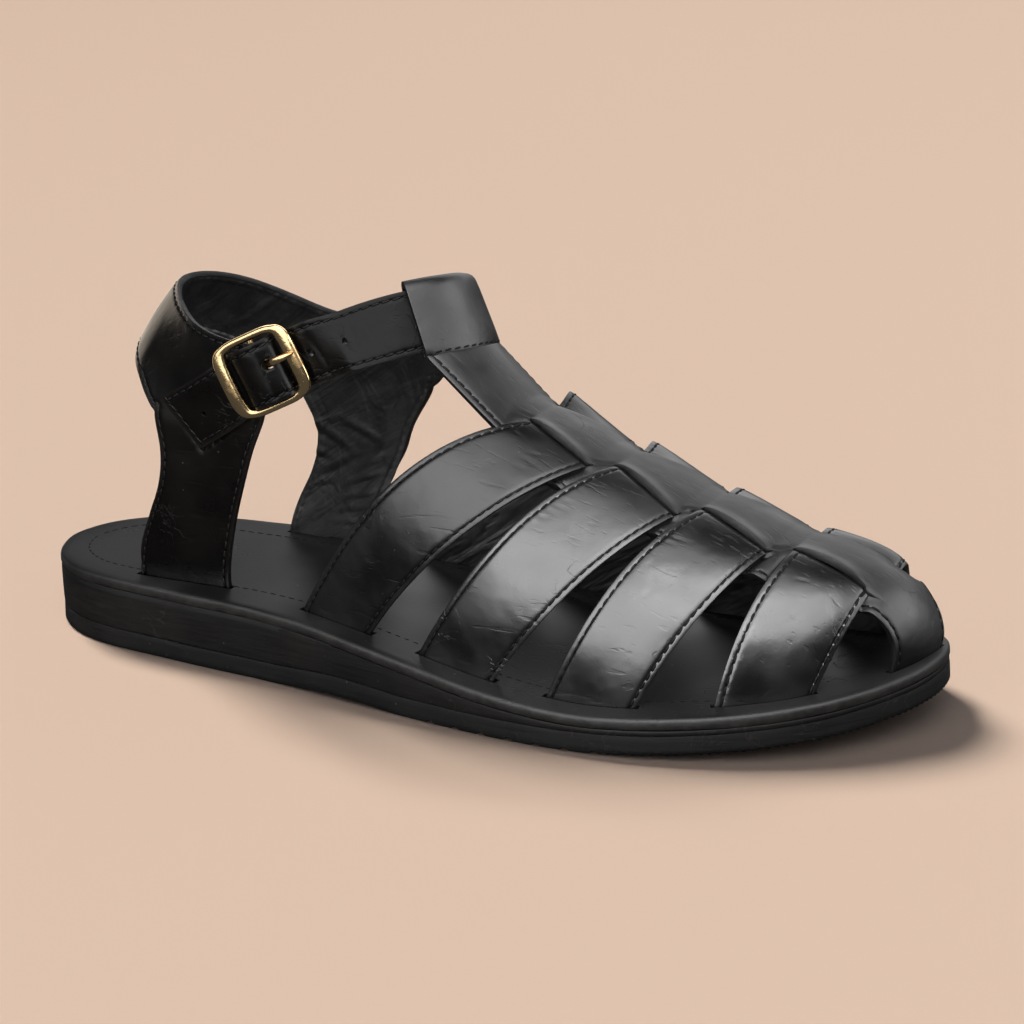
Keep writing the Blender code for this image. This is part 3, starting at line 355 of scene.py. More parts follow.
def unit(vectors):
    """Vectors brought to length one."""
    vectors = np.asarray(vectors, float)
    return vectors / np.maximum(np.linalg.norm(vectors, axis=-1, keepdims=True), 1e-9)


def row_places(rows):
    """Mean distance of each row of points from the first."""
    gaps = np.linalg.norm(np.diff(rows, axis=0), axis=-1).reshape(len(rows) - 1, -1).mean(axis=1)
    return np.concatenate([[0.0], np.cumsum(gaps)])


def curve_rows(rows, at, closed=False):
    """Rows at distances along a rounded surface through rows of points."""
    rows = np.asarray(rows, float)
    if closed:
        rows = np.concatenate([rows[-2:], rows, rows[:3]])
    place = row_places(rows)
    shape = (-1,) + (1,) * (rows.ndim - 1)
    tangent = np.empty_like(rows)
    tangent[1:-1] = (rows[2:] - rows[:-2]) / (place[2:] - place[:-2]).reshape(shape)
    tangent[0] = (rows[1] - rows[0]) / place[1]
    tangent[-1] = (rows[-1] - rows[-2]) / (place[-1] - place[-2])
    where = np.asarray(at, float) + (place[2] if closed else 0.0)
    i = np.clip(np.searchsorted(place, where, side="right") - 1, 0, len(place) - 2)
    step = (place[i + 1] - place[i]).reshape(shape)
    t = (where - place[i]).reshape(shape) / step
    return cubic(rows[i], tangent[i] * step, rows[i + 1], tangent[i + 1] * step, t)


def fine_rows(rows, spacing):
    """More rows, about `spacing` apart, with every given row kept; also the place of each given row."""
    place = row_places(np.asarray(rows, float))
    at = [0.0]
    marks = [0]
    for low, high in zip(place[:-1], place[1:]):
        count = max(1, int(round((high - low) / spacing)))
        at += list(low + (high - low) * np.arange(1, count + 1) / count)
        marks.append(len(at) - 1)
    return curve_rows(rows, at), marks


def edge_spread(width, middle):
    """Distances across a strap, close together by the seams and `middle` apart between them."""
    margin = SEAM_STEPS[-1]
    count = max(2, int(round((width - 2.0 * margin) / middle)))
    inner = list(np.linspace(margin, width - margin, count + 1)[1:-1])
    return np.array(SEAM_STEPS + inner + [width - d for d in reversed(SEAM_STEPS)])


# ------------------------------------------------------------------ sole heights, outline and last
def toe_spring(x):
    """How far the toe end of the sole bends up."""
    return SPRING_RISE * ramp(x, SPRING_START, SOLE_LENGTH) ** 2


def ground_lift(x):
    """Underside height: flat heel and ball, small arch relief and toe spring."""
    return toe_spring(x) + ARCH_RISE * np.sin(pi * ramp(x, *ARCH_SPAN)) ** 2


def footbed_top(x):
    """Height of the surface the foot stands on."""
    drop = blend(ramp(x, WEDGE_START, WEDGE_END))
    return HEEL_HEIGHT + (BALL_HEIGHT - HEEL_HEIGHT) * drop + toe_spring(x)


def outline_ring(inset, count):
    """Closed outline moved inwards by a distance."""
    girth = row_places(np.array(OUTLINE + OUTLINE[:1]))[-1]
    ring = curve_rows(OUTLINE, np.linspace(0.0, girth, count, endpoint=False), closed=True)
    ahead = np.roll(ring, -1, axis=0) - np.roll(ring, 1, axis=0)
    inward = unit(np.stack([-ahead[:, 1], ahead[:, 0]], axis=1))
    return ring + np.asarray(inset, float).reshape(-1, 1) * inward


SLOT_LINE = outline_ring(SLOT_INSET, 400)
SIDE_LINE = {}
for side, half in ((-1, SLOT_LINE[SLOT_LINE[:, 1] < 2.0]), (1, SLOT_LINE[SLOT_LINE[:, 1] > 2.0])):
    SIDE_LINE[side] = half[np.argsort(half[:, 0])]


def slot_y(x, side):
    """Line of the slots: y at a station, on the lateral side for a negative side."""
    lateral = np.interp(x, SIDE_LINE[-1][:, 0], SIDE_LINE[-1][:, 1])
    medial = np.interp(x, SIDE_LINE[1][:, 0], SIDE_LINE[1][:, 1])
    return np.where(side < 0, lateral, medial)


def ridge(x):
    """Centre line y and ridge height of the last at a station."""
    rows = np.array(RIDGE)
    return hermite(rows[:, 0], rows[:, 1], x), hermite(rows[:, 0], rows[:, 2], x)


def last_point(x, angle, level):
    """Points on the last: angle 0 at the lateral slot line, 180 at the medial one, level outwards."""
    x, angle, level = np.broadcast_arrays(x, angle, level)
    centre, top = ridge(x)
    base = footbed_top(x)
    reach = np.abs(slot_y(x, np.where(angle < 90.0, -1.0, 1.0)) - centre)
    c = np.cos(np.radians(angle))
    s = np.sin(np.radians(angle))
    r = (np.abs(c) ** SECTION_POWER + np.abs(s) ** SECTION_POWER) ** (-1.0 / SECTION_POWER)
    side = -np.sign(c) * np.abs(r * c) ** (SECTION_POWER - 1.0) / reach
    out = unit(np.stack([0.0 * x, side, np.abs(r * s) ** (SECTION_POWER - 1.0) / (top - base)], axis=-1))
    points = np.stack([x, centre - reach * r * c, base + (top - base) * r * s], axis=-1)
    return points + level[..., None] * out


def angle_at(x, offset):
    """Angle on the section where the last stands a given distance to the side of the ridge."""
    x, offset = np.broadcast_arrays(x, offset)
    reach = np.abs(slot_y(x, offset) - ridge(x)[0])
    u = np.minimum(np.abs(offset) / reach, 0.995)
    angle = np.degrees(np.arctan2((1.0 - u ** SECTION_POWER) ** (1.0 / SECTION_POWER), u))
    return np.where(offset < 0.0, angle, 180.0 - angle)


def slit_half(x):
    """Half spacing of the two rows of slits at a station."""
    knots = [x_end for row in STRAPS for x_end in row[2:4]]
    values = [half for row in STRAPS for half in row[6:8]]
    return np.interp(x, knots, values)


def slit_x(row, v):
    """Station along a strap's slit, v running from its rear end to its front end."""
    return row[2] + v * (row[3] - row[2])


def strap_x(row, angle, v):
    """Station of a point on a cross strap, v running from its rear edge to its front edge."""
    slit = slit_x(row, v)
    lateral = angle < 90.0
    slot = np.where(lateral, row[0] + v * (row[1] - row[0]), row[4] + v * (row[5] - row[4]))
    half = slit_half(slit)
    whole = np.where(lateral, angle_at(slit, -half), 180.0 - angle_at(slit, half))
    turn = np.minimum(np.where(lateral, angle, 180.0 - angle) / whole, 1.0)
    share = np.where(lateral, 0.5 * turn + 0.5 * np.sin(0.5 * pi * turn), 1.0 - (1.0 - turn) ** MEDIAL_TURN)
    return slot + (slit - slot) * share


def strap_puff(row, puff, angle, v):
    """How far a strap stands off the foot on its medial side, past the slit."""
    slit = slit_x(row, v)
    turn = (180.0 - angle) / (180.0 - angle_at(slit, slit_half(slit)))
    return (puff[0] + (puff[1] - puff[0]) * v) * blend((1.0 - turn) / PUFF_FALL) * blend(turn / PUFF_RISE)


# ------------------------------------------------------------------ object helpers
def only(piece=None):
    """Nothing selected but one piece."""
    bpy.ops.object.select_all(action="DESELECT")
    bpy.context.view_layer.objects.active = piece
    if piece:
        piece.select_set(True)


def apply_modifier(piece, kind, **settings):
    """Modifier of a kind added to a piece and applied."""
    only(piece)
    bpy.ops.object.modifier_add(type=kind)
    made = piece.modifiers[-1]
    for key, value in settings.items():
        setattr(made, key, value)
    bpy.ops.object.modifier_apply(modifier=made.name)


def edit(action="SELECT"):
    """Edit mode, with everything or nothing selected."""
    bpy.ops.object.mode_set(mode="EDIT")
    bpy.ops.mesh.select_all(action=action)


def leave_edit():
    """Back to object mode."""
    bpy.ops.object.mode_set(mode="OBJECT")


def face_out(piece):
    """All faces of a closed piece turned outwards, also where it is bent back on itself."""
    only(piece)
    edit()
    bpy.ops.mesh.normals_make_consistent(inside=False)
    if bmesh.from_edit_mesh(piece.data).calc_volume(signed=True) < 0.0:
        bpy.ops.mesh.flip_normals()
    leave_edit()


def cut_away(piece, tool, **settings):
    """A piece with the shape of a tool cut out of it, and the tool gone."""
    apply_modifier(piece, "BOOLEAN", operation="DIFFERENCE", solver="EXACT", object=tool, **settings)
    bpy.data.objects.remove(tool, do_unlink=True)


def in_place(points):
    """Points of the tables in the world frame, in metres."""
    return (np.asarray(points, float) + HEEL_END) * MM


def set_points(piece, points):
    """Vertices of a piece moved to points of the tables."""
    piece.data.vertices.foreach_set("co", in_place(points).astype(np.float32).ravel())
    piece.data.update()


def extruded_rings(rings, capped=False):
    """Circle extruded ring by ring and set on the rings; closed at both ends if capped."""
    fill = "NGON" if capped else "NOTHING"
    only()
    bpy.ops.mesh.primitive_circle_add(vertices=len(rings[0]), radius=0.1, fill_type=fill)
    body = bpy.context.object
    edit()
    bpy.ops.mesh.select_mode(type="EDGE")
    extrude = bpy.ops.mesh.extrude_region_move if capped else bpy.ops.mesh.extrude_edges_move
    for _ in rings[1:]:
        extrude(TRANSFORM_OT_translate={"value": (0.0, 0.0, 0.001)})
    leave_edit()
    set_points(body, np.concatenate([np.asarray(ring, float) for ring in rings]))
    return body


def finish_piece(piece, name, slot, *nodes):
    """Piece with its name and the CAD nodes that it replaces; its surface slot is not used."""
    piece.name = name
    piece.data.name = name
    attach(piece, "root")
    if nodes:
        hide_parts(*nodes)


def grid_normals(points):
    """Outward direction at every point of a sheet."""
    down = np.gradient(points, axis=0)
    across = np.gradient(points, axis=1)
    return unit(np.cross(across, down))


# ------------------------------------------------------------------ cut leather
def seam_line(points, normals, path, step):
    """Line of stitches: edge vertices of a cut sheet, walked inwards by the inset of the seam."""
    line = []
    upright = []
    for i, j in path:
        walked = 0.0
        here = points[i, j]
        a, b = i, j
        for _ in range(12):
            a, b = a + step[0], b + step[1]
            if not (0 <= a < points.shape[0] and 0 <= b < points.shape[1]):
                break
            gap = np.linalg.norm(points[a, b] - here)
            if walked + gap >= SEAM_INSET:
                here = here + (points[a, b] - here) * (SEAM_INSET - walked) / max(gap, 1e-9)
                break
            walked += gap
            here = points[a, b]
        line.append(here)
        a = min(max(a, 0), points.shape[0] - 1)
        b = min(max(b, 0), points.shape[1] - 1)
        upright.append(normals[a, b])
    return np.array(line), np.array(upright)


def nearest(points, line, batch=2000):
    """Distance from each point to the nearest point of a line, and that one's number."""
    flat = points.reshape(-1, 3)
    distance = np.empty(len(flat))
    index = np.empty(len(flat), int)
    for start in range(0, len(flat), batch):
        gaps = np.linalg.norm(flat[start:start + batch, None] - line[None], axis=2)
        index[start:start + batch] = gaps.argmin(axis=1)
        distance[start:start + batch] = gaps.min(axis=1)
    return distance.reshape(points.shape[:-1]), index.reshape(points.shape[:-1])


def seam_map(points, seams):
    """Run along the seams and distance in from the sewn edge, for every point of a sheet."""
    normals = grid_normals(points)
    run = np.zeros(points.shape[:2])
    edge = np.full(points.shape[:2], 50.0)
    lines = []
    for path, step in seams:
        line, upright = seam_line(points, normals, path, step)
        rim = np.array([points[i, j] for i, j in path])
        length = row_places(line)
        distance, index = nearest(points, rim)
        closer = distance < edge
        edge = np.where(closer, distance, edge)
        run = np.where(closer, length[index], run)
        lines.append((line, upright, length))
    return run, edge, lines


def side_seams(rows, columns):
    """Seam paths along both sides of a sheet, over some of its rows, each with its step inwards."""
    return [([(i, 0) for i in rows], (0, 1)), ([(i, columns - 1) for i in rows], (0, -1))]


def sink_seams(points, run, edge):
    """Leather pulled down along its seams, deepest at the needle holes, and rounded off at the cut edge."""
    normals = grid_normals(points)
    groove = np.exp(-((edge - SEAM_INSET) / SEAM_WIDTH) ** 2)
    hole = 0.75 + 0.25 * np.cos(2.0 * pi * run / STITCH_PITCH)
    roll = EDGE_ROLL * np.exp(-(edge / EDGE_ROLL_WIDTH) ** 2)
    return points - normals * (SEAM_DEPTH * groove * hole + roll)[..., None]


def share_of(points, place):
    """Row share and column share of the point of a sheet nearest a place."""
    gap = np.linalg.norm(points - np.array(place), axis=2)
    i, j = np.unravel_index(gap.argmin(), gap.shape)
    return i / (gap.shape[0] - 1), j / (gap.shape[1] - 1)


def press_creases(points, creases):
    """Soft folds, each a hollow with a low ridge beside it.

    Each crease: row share, column share, heading in degrees, half length, half width, depth.
    """
    normals = grid_normals(points)
    rows, columns = points.shape[:2]
    moved = points.copy()
    for r, c, heading, length, width, depth in creases:
        i = min(max(int(r * (rows - 1)), 1), rows - 2)
        j = min(max(int(c * (columns - 1)), 1), columns - 2)
        along = unit(points[i + 1, j] - points[i - 1, j])
        across = unit(points[i, j + 1] - points[i, j - 1])
        across = unit(across - along * (along @ across))
        way = along * cos(radians(heading)) + across * sin(radians(heading))
        beside = np.cross(normals[i, j], way)
        offset = points - points[i, j]
        a = offset @ way
        b = offset @ beside
        out = offset @ normals[i, j]
        bend = b - CREASE_BOW * a * a / max(length, 1.0)
        ridge_bend = bend - CREASE_RIDGE_PLACE * width
        shape = np.exp(-(bend / width) ** 2) - CREASE_RIDGE * np.exp(-(ridge_bend / width) ** 2)
        fade = blend(1.0 - np.abs(a) / length) * blend(1.5 - np.abs(out) / CREASE_REACH)
        moved -= normals * (depth * shape * fade)[..., None]
    return moved


def cut_sheet(points, run, edge, thick, looks, keep=None):
    """Flat grid of leather wrapped to its shape, with its wall and softened cut edges."""
    rows, columns = points.shape[:2]
    only()
    bpy.ops.mesh.primitive_grid_add(x_subdivisions=columns - 1, y_subdivisions=rows - 1, size=1.0)
    sheet = bpy.context.object
    set_points(sheet, points.reshape(-1, 3))
    layer = sheet.data.uv_layers[0]
    layer.name = "seam"
    corner = np.empty(len(sheet.data.loops), int)
    sheet.data.loops.foreach_get("vertex_index", corner)
    pair = np.stack([run.ravel()[corner], edge.ravel()[corner]], axis=1) * MM
    layer.data.foreach_set("uv", pair.astype(np.float32).ravel())
    for look in looks:
        sheet.data.materials.append(look)
    if keep is not None:
        edit("DESELECT")
        leave_edit()
        sheet.data.polygons.foreach_set("select", ~keep.ravel())
        bpy.ops.object.mode_set(mode="EDIT")
        bpy.ops.mesh.select_mode(type="FACE")
        bpy.ops.mesh.delete(type="FACE")
        bpy.ops.mesh.select_mode(type="VERT")
        leave_edit()
    apply_modifier(sheet, "SOLIDIFY", thickness=thick * MM, offset=0.0,
                   material_offset=len(looks) - 1, material_offset_rim=1)
    apply_modifier(sheet, "BEVEL", width=EDGE_BEVEL * MM, segments=2, limit_method="ANGLE",
                   angle_limit=radians(55))
    only(sheet)
    bpy.ops.object.shade_smooth()
    return sheet


def sewn_sheet(points, seams, folds, thick, looks, keep=None):
    """Cut leather drawn down at its seams and creased; also the lines on its face for the stitches."""
    run, edge, lines = seam_map(points, seams)
    shaped = press_creases(sink_seams(points, run, edge), folds)
    sheet = cut_sheet(shaped, run, edge, thick, looks, keep)
    return sheet, [(line + up * 0.5 * thick, up, length) for line, up, length in lines]


def one_stitch():
    """One stitch of waxed thread along X, thick in the middle and pinched at both holes."""
    only()
    bpy.ops.mesh.primitive_uv_sphere_add(segments=8, ring_count=6, radius=1.0,
                                         rotation=(0.0, radians(90), 0.0))
    stitch = bpy.context.object
    bpy.ops.object.transform_apply()
    points = np.array([v.co for v in stitch.data.vertices])
    points[:, 0] = np.sign(points[:, 0]) * np.abs(points[:, 0]) ** 0.8
    faces = [tuple(face.vertices) for face in stitch.data.polygons]
    bpy.data.objects.remove(stitch, do_unlink=True)
    return points, faces


def sew(name, lines, pitch=STITCH_PITCH, length=STITCH_LENGTH, thick=0.42, sunk=0.2, slant=6.0):
    """Copies of the stitch along seam lines, all in one piece."""
    shape, shape_faces = STITCH
    points = []
    faces = []
    for line, upright, run in lines:
        for at in np.arange(0.5 * pitch, run[-1] - 0.4 * pitch, pitch):
            k = int(np.clip(np.searchsorted(run, at), 1, len(run) - 1))
            t = (at - run[k - 1]) / max(run[k] - run[k - 1], 1e-9)
            centre = line[k - 1] * (1.0 - t) + line[k] * t
            before = line[max(k - 2, 0)]
            after = line[min(k + 1, len(line) - 1)]
            out = unit(upright[k])
            way = unit(after - before)
            way = unit(way - out * (way @ out))
            beside = np.cross(out, way)
            turned = way * cos(radians(slant)) + beside * sin(radians(slant))
            beside = np.cross(out, turned)
            base = len(points)
            body = (shape[:, :1] * turned * 0.5 * length + shape[:, 1:2] * beside * thick
                    + shape[:, 2:] * out * 0.8 * thick)
            points.extend(centre - out * sunk + body)
            faces.extend(tuple(base + n for n in face) for face in shape_faces)
    mesh = bpy.data.meshes.new(name)
    mesh.from_pydata([tuple(p) for p in in_place(points)], [], faces)
    mesh.shade_smooth()
    piece = bpy.data.objects.new(name, mesh)
    bpy.context.scene.collection.objects.link(piece)
    piece.data.materials.append(THREAD)
    finish_piece(piece, name, "thread")


# ------------------------------------------------------------------ materials
def plug(tree, socket, value):
    """A constant set on a socket, or a link to it from another node's socket."""
    if isinstance(value, bpy.types.NodeSocket):
        tree.links.new(value, socket)
    else:
        socket.default_value = value


def node(tree, kind, settings=None, **inputs):
    """Shader node with its settings; an input is a value, or another node's socket to link."""
    made = tree.nodes.new("ShaderNode" + kind)
    for key, value in (settings or {}).items():
        setattr(made, key, value)
    for key, value in inputs.items():
        plug(tree, made.inputs[int(key[1:]) if key[1:].isdigit() else key.replace("_", " ")], value)
    return made


def noise(tree, place, scale, detail=2.0, rough=0.5, bent=0.0):
    """Soft unevenness, about 0.5 on average."""
    return node(tree, "TexNoise", Vector=place, Scale=scale, Detail=detail, Roughness=rough,
                Distortion=bent).outputs[0]


def stretched(tree, place, scale, turn=(0.0, 0.0, 0.0)):
    """Place scaled along each axis and turned, so that a texture read there is drawn out."""
    return node(tree, "Mapping", Vector=place, Rotation=turn, Scale=scale).outputs[0]


def maths(tree, operation, *values, clamp=False):
    """One step of arithmetic on numbers or sockets."""
    made = node(tree, "Math", {"operation": operation, "use_clamp": clamp},
                **{"_%d" % k: value for k, value in enumerate(values)})
    return made.outputs[0]


def times(tree, value, factor):
    """Two values multiplied."""
    return maths(tree, "MULTIPLY", value, factor)


def added(tree, base, value, factor):
    """Base with a share of a value added."""
    return maths(tree, "MULTIPLY_ADD", value, factor, base)


def spread_range(tree, value, low, high, to_low=0.0, to_high=1.0):
    """Smooth step of a value from one range to another."""
    made = node(tree, "MapRange", {"interpolation_type": "SMOOTHSTEP"}, Value=value, From_Min=low,
                From_Max=high, To_Min=to_low, To_Max=to_high)
    return made.outputs[0]


def new_group(name, outputs, **inputs):
    """Node group that reads a place and named numbers, each with its default."""
    tree = bpy.data.node_groups.new(name, "ShaderNodeTree")
    tree.interface.new_socket(name="Place", in_out="INPUT", socket_type="NodeSocketVector")
    for label, default in inputs.items():
        socket = tree.interface.new_socket(name=label, in_out="INPUT", socket_type="NodeSocketFloat")
        socket.default_value = default
    for label in outputs:
        tree.interface.new_socket(name=label, in_out="OUTPUT", socket_type="NodeSocketFloat")
    return tree, tree.nodes.new("NodeGroupInput").outputs, tree.nodes.new("NodeGroupOutput").inputs


def use_group(tree, group, place, **inputs):
    """Outputs of a node group read at a place."""
    return node(tree, "Group", {"node_tree": group}, Place=place, **inputs).outputs


def grain_group():
    """Fine pores and slow unevenness of a polished hide."""
    tree, given, result = new_group("Hide grain", ("Height", "Tone"), Pores=900.0, Unevenness=70.0)
    pores = noise(tree, given["Place"], given["Pores"], 3.0, 0.6)
    slow = noise(tree, given["Place"], given["Unevenness"])
    plug(tree, result["Height"], added(tree, times(tree, pores, 0.35), slow, 1.6))
    plug(tree, result["Tone"], slow)
    return tree


def wrinkle_group():
    """Hair-thin curved wrinkles and scratches, in patches."""
    tree, given, result = new_group("Fine wrinkles", ("Mask",), Scale=120.0, Thinness=0.02, Patches=0.5)
    field = noise(tree, given["Place"], given["Scale"], 3.0, 0.55, 0.6)
    far = maths(tree, "ABSOLUTE", maths(tree, "SUBTRACT", field, 0.5))
    line = spread_range(tree, far, given["Thinness"], 0.0)
    patch = noise(tree, given["Place"], times(tree, given["Scale"], 0.35), 1.0)
    shown = spread_range(tree, patch, given["Patches"], maths(tree, "ADD", given["Patches"], 0.12))
    plug(tree, result["Mask"], times(tree, line, shown))
    return tree


def dust_group():
    """Specks of dust and lint of uneven size."""
    tree, given, result = new_group("Dust specks", ("Mask",), Scale=220.0, Size=0.09, Share=0.35)
    cells = node(tree, "TexVoronoi", Vector=given["Place"], Scale=given["Scale"]).outputs
    chosen = node(tree, "SeparateColor", Color=cells["Color"]).outputs
    size = times(tree, given["Size"], maths(tree, "ADD", chosen[1], 0.25))
    speck = spread_range(tree, cells["Distance"], size, 0.0)
    some = maths(tree, "LESS_THAN", chosen[0], given["Share"])
    plug(tree, result["Mask"], maths(tree, "MULTIPLY", speck, some, clamp=True))
    return tree


def seam_group():
    """Groove and needle holes along a seam, placed by the piece's seam map: run, distance from the edge."""
    tree, given, result = new_group("Seam groove", ("Groove", "Rim"), Inset=SEAM_INSET * MM,
                                    Pitch=STITCH_PITCH * MM, Width=0.00055)
    parts = node(tree, "SeparateXYZ", Vector=given["Place"]).outputs
    turn = times(tree, maths(tree, "DIVIDE", parts[0], given["Pitch"]), 2.0 * pi)
    wave = maths(tree, "MULTIPLY_ADD", maths(tree, "COSINE", turn), 0.35, 0.65)
    off = maths(tree, "ABSOLUTE", maths(tree, "SUBTRACT", parts[1], given["Inset"]))
    plug(tree, result["Groove"], times(tree, spread_range(tree, off, given["Width"], 0.0), wave))
    plug(tree, result["Rim"], spread_range(tree, parts[1], 0.0012, 0.0002))
    return tree


def new_material(name):
    """Material, its node tree, its shader's inputs and the place on the piece."""
    made = bpy.data.materials.new(name)
    made.use_nodes = True
    tree = made.node_tree
    return made, tree, tree.nodes["Principled BSDF"].inputs, node(tree, "TexCoord").outputs["Object"]


def mixed(tree, share, first, second):
    """Colour between two: each a colour or a socket."""
    made = node(tree, "Mix", {"data_type": "RGBA"})
    sockets = {socket.identifier: socket for socket in (*made.inputs, *made.outputs)}
    plug(tree, sockets["Factor_Float"], share)
    for key, colour in (("A_Color", first), ("B_Color", second)):
        plug(tree, sockets[key], (*colour, 1.0) if isinstance(colour, tuple) else colour)
    return sockets["Result_Color"]


def set_look(tree, shader, colour, rough, specular, relief, height):
    """The shader's colour, roughness and specular level, and a relief of some height in its surface."""
    plug(tree, shader["Base Color"], colour)
    plug(tree, shader["Roughness"], rough)
    plug(tree, shader["Specular IOR Level"], specular)
    plug(tree, shader["Normal"], node(tree, "Bump", Strength=1.0, Distance=height, Height=relief).outputs[0])


def polished_leather(name, colour, tone, rough, sheen, dust=0.3, wrinkles=0.62):
    """Black semi-gloss upper leather: grain, wrinkles, sewn grooves and a little dust."""
    made, tree, shader, place = new_material(name)
    grain = use_group(tree, GRAIN, place, Pores=1100.0, Unevenness=55.0)
    lines = use_group(tree, WRINKLES, place, Scale=95.0, Thinness=0.012, Patches=wrinkles)["Mask"]
    specks = use_group(tree, DUST, place, Scale=240.0, Size=0.09, Share=dust)["Mask"]
    seam = use_group(tree, SEAM, node(tree, "UVMap", {"uv_map": "seam"}).outputs[0])
    shade = mixed(tree, spread_range(tree, grain["Tone"], 0.35, 0.7), colour, tone)
    shade = mixed(tree, times(tree, lines, 0.35), shade, (0.035, 0.035, 0.034))
    shade = mixed(tree, times(tree, seam["Rim"], 0.5), shade, (0.03, 0.03, 0.032))
    shade = mixed(tree, specks, shade, (0.12, 0.115, 0.11))
    gloss = spread_range(tree, grain["Tone"], 0.3, 0.7, rough - 0.05, rough + 0.07)
    gloss = added(tree, added(tree, gloss, lines, 0.12), specks, 0.25)
    strokes = stretched(tree, place, (40.0, 900.0, 420.0), (0.2, 0.5, 0.6))
    scratches = spread_range(tree, noise(tree, strokes, 1.0), 0.6, 0.7)
    height = added(tree, grain["Height"], noise(tree, place, 38.0, 3.0, 0.55), 12.0)
    for part, factor in ((scratches, -0.5), (lines, -1.3), (seam["Groove"], -3.0)):
        height = added(tree, height, part, factor)
    set_look(tree, shader, shade, gloss, sheen, height, 0.00006)
    return made


def cut_edge(name, colour):
    """Dyed and waxed cut edge of the hide: paler, with its layers showing."""
    made, tree, shader, place = new_material(name)
    fibres = noise(tree, place, 900.0, 4.0, 0.7)
    darker = tuple(0.45 * part for part in colour)
    shade = mixed(tree, spread_range(tree, noise(tree, place, 160.0), 0.35, 0.65), darker, colour)
    set_look(tree, shader, shade, spread_range(tree, fibres, 0.3, 0.7, 0.42, 0.6), 0.12, fibres, 0.00008)
    return made


def flesh_side(name, colour, sheen):
    """Matt inner face of the leather, with soft wrinkles."""
    made, tree, shader, place = new_material(name)
    grain = use_group(tree, GRAIN, place, Pores=700.0, Unevenness=160.0)
    lines = use_group(tree, WRINKLES, place, Scale=60.0, Thinness=0.09, Patches=0.35)["Mask"]
    turned = stretched(tree, place, (1.0, 1.0, 1.0), (0.0, 0.6, 0.0))
    folds = noise(tree, stretched(tree, turned, (28.0, 60.0, 150.0)), 1.0, 3.0, 0.5, 0.4)
    paler = tuple(1.8 * part for part in colour)
    shade = mixed(tree, spread_range(tree, grain["Tone"], 0.35, 0.7), colour, paler)
    gloss = spread_range(tree, grain["Tone"], 0.3, 0.7, 0.4, 0.52)
    height = added(tree, added(tree, grain["Height"], folds, 13.0), lines, -0.8)
    set_look(tree, shader, shade, gloss, sheen, height, 0.00012)
    return made


def matt_rubber(name, colour, rough):
    """Black rubber, brushed along its edge, with dust in it."""
    made, tree, shader, place = new_material(name)
    brushed = noise(tree, stretched(tree, place, (60.0, 60.0, 900.0)), 1.0, 4.0, 0.65)
    grain = use_group(tree, GRAIN, place, Pores=1500.0, Unevenness=45.0)
    specks = use_group(tree, DUST, place, Scale=260.0, Size=0.11, Share=0.6)["Mask"]
    scuffs = use_group(tree, WRINKLES, place, Scale=70.0, Thinness=0.01, Patches=0.5)["Mask"]
    paler = tuple(2.2 * part for part in colour)
    shade = mixed(tree, spread_range(tree, grain["Tone"], 0.35, 0.75), colour, paler)
    shade = mixed(tree, times(tree, scuffs, 0.4), shade, (0.06, 0.06, 0.06))
    shade = mixed(tree, specks, shade, (0.14, 0.14, 0.135))
    gloss = spread_range(tree, brushed, 0.3, 0.7, rough - 0.08, rough + 0.08)
    set_look(tree, shader, shade, gloss, 0.05, added(tree, grain["Height"], brushed, 0.9), 0.0001)
    return made


def footbed_hide(name, colour, worn_colour):
    """Waxed black footbed: softly polished, more in some patches than in others."""
    made, tree, shader, place = new_material(name)
    grain = use_group(tree, GRAIN, place, Pores=900.0, Unevenness=40.0)
    lines = use_group(tree, WRINKLES, place, Scale=80.0, Thinness=0.012, Patches=0.52)["Mask"]
    specks = use_group(tree, DUST, place, Scale=230.0, Size=0.1, Share=0.45)["Mask"]
    worn = noise(tree, place, 22.0)
    shade = mixed(tree, spread_range(tree, worn, 0.35, 0.7), colour, worn_colour)
    shade = mixed(tree, specks, shade, (0.13, 0.125, 0.12))
    gloss = added(tree, spread_range(tree, worn, 0.3, 0.7, 0.4, 0.55), specks, 0.2)
    set_look(tree, shader, shade, gloss, 0.13, added(tree, grain["Height"], lines, -0.8), 0.00009)
    return made


def worn_brass(name, polish):
    """Brass: bright where it is rubbed, browned and pitted elsewhere."""
    made, tree, shader, place = new_material(name)
    patina = noise(tree, place, 130.0, 5.0, 0.65)
    pits = use_group(tree, DUST, place, Scale=700.0, Size=0.2, Share=0.3)["Mask"]
    brown = spread_range(tree, patina, polish, polish + 0.2)
    shade = mixed(tree, brown, (0.88, 0.64, 0.33), (0.42, 0.26, 0.12))
    shade = mixed(tree, times(tree, pits, 0.5), shade, (0.2, 0.11, 0.05))
    height = added(tree, times(tree, noise(tree, place, 1600.0), 0.25), pits, -1.0)
    gloss = spread_range(tree, brown, 0.0, 1.0, 0.16, 0.42)
    shader["Metallic"].default_value = 1.0
    set_look(tree, shader, shade, gloss, 0.5, added(tree, height, patina, 1.5), 0.00006)
    return made


def waxed_thread(name, colour, worn_colour):
    """Black waxed thread, with a fine twist."""
    made, tree, shader, place = new_material(name)
    twist = noise(tree, place, 1800.0)
    gloss = spread_range(tree, twist, 0.3, 0.7, 0.5, 0.7)
    set_look(tree, shader, mixed(tree, twist, colour, worn_colour), gloss, 0.05, twist, 0.0001)
    return made


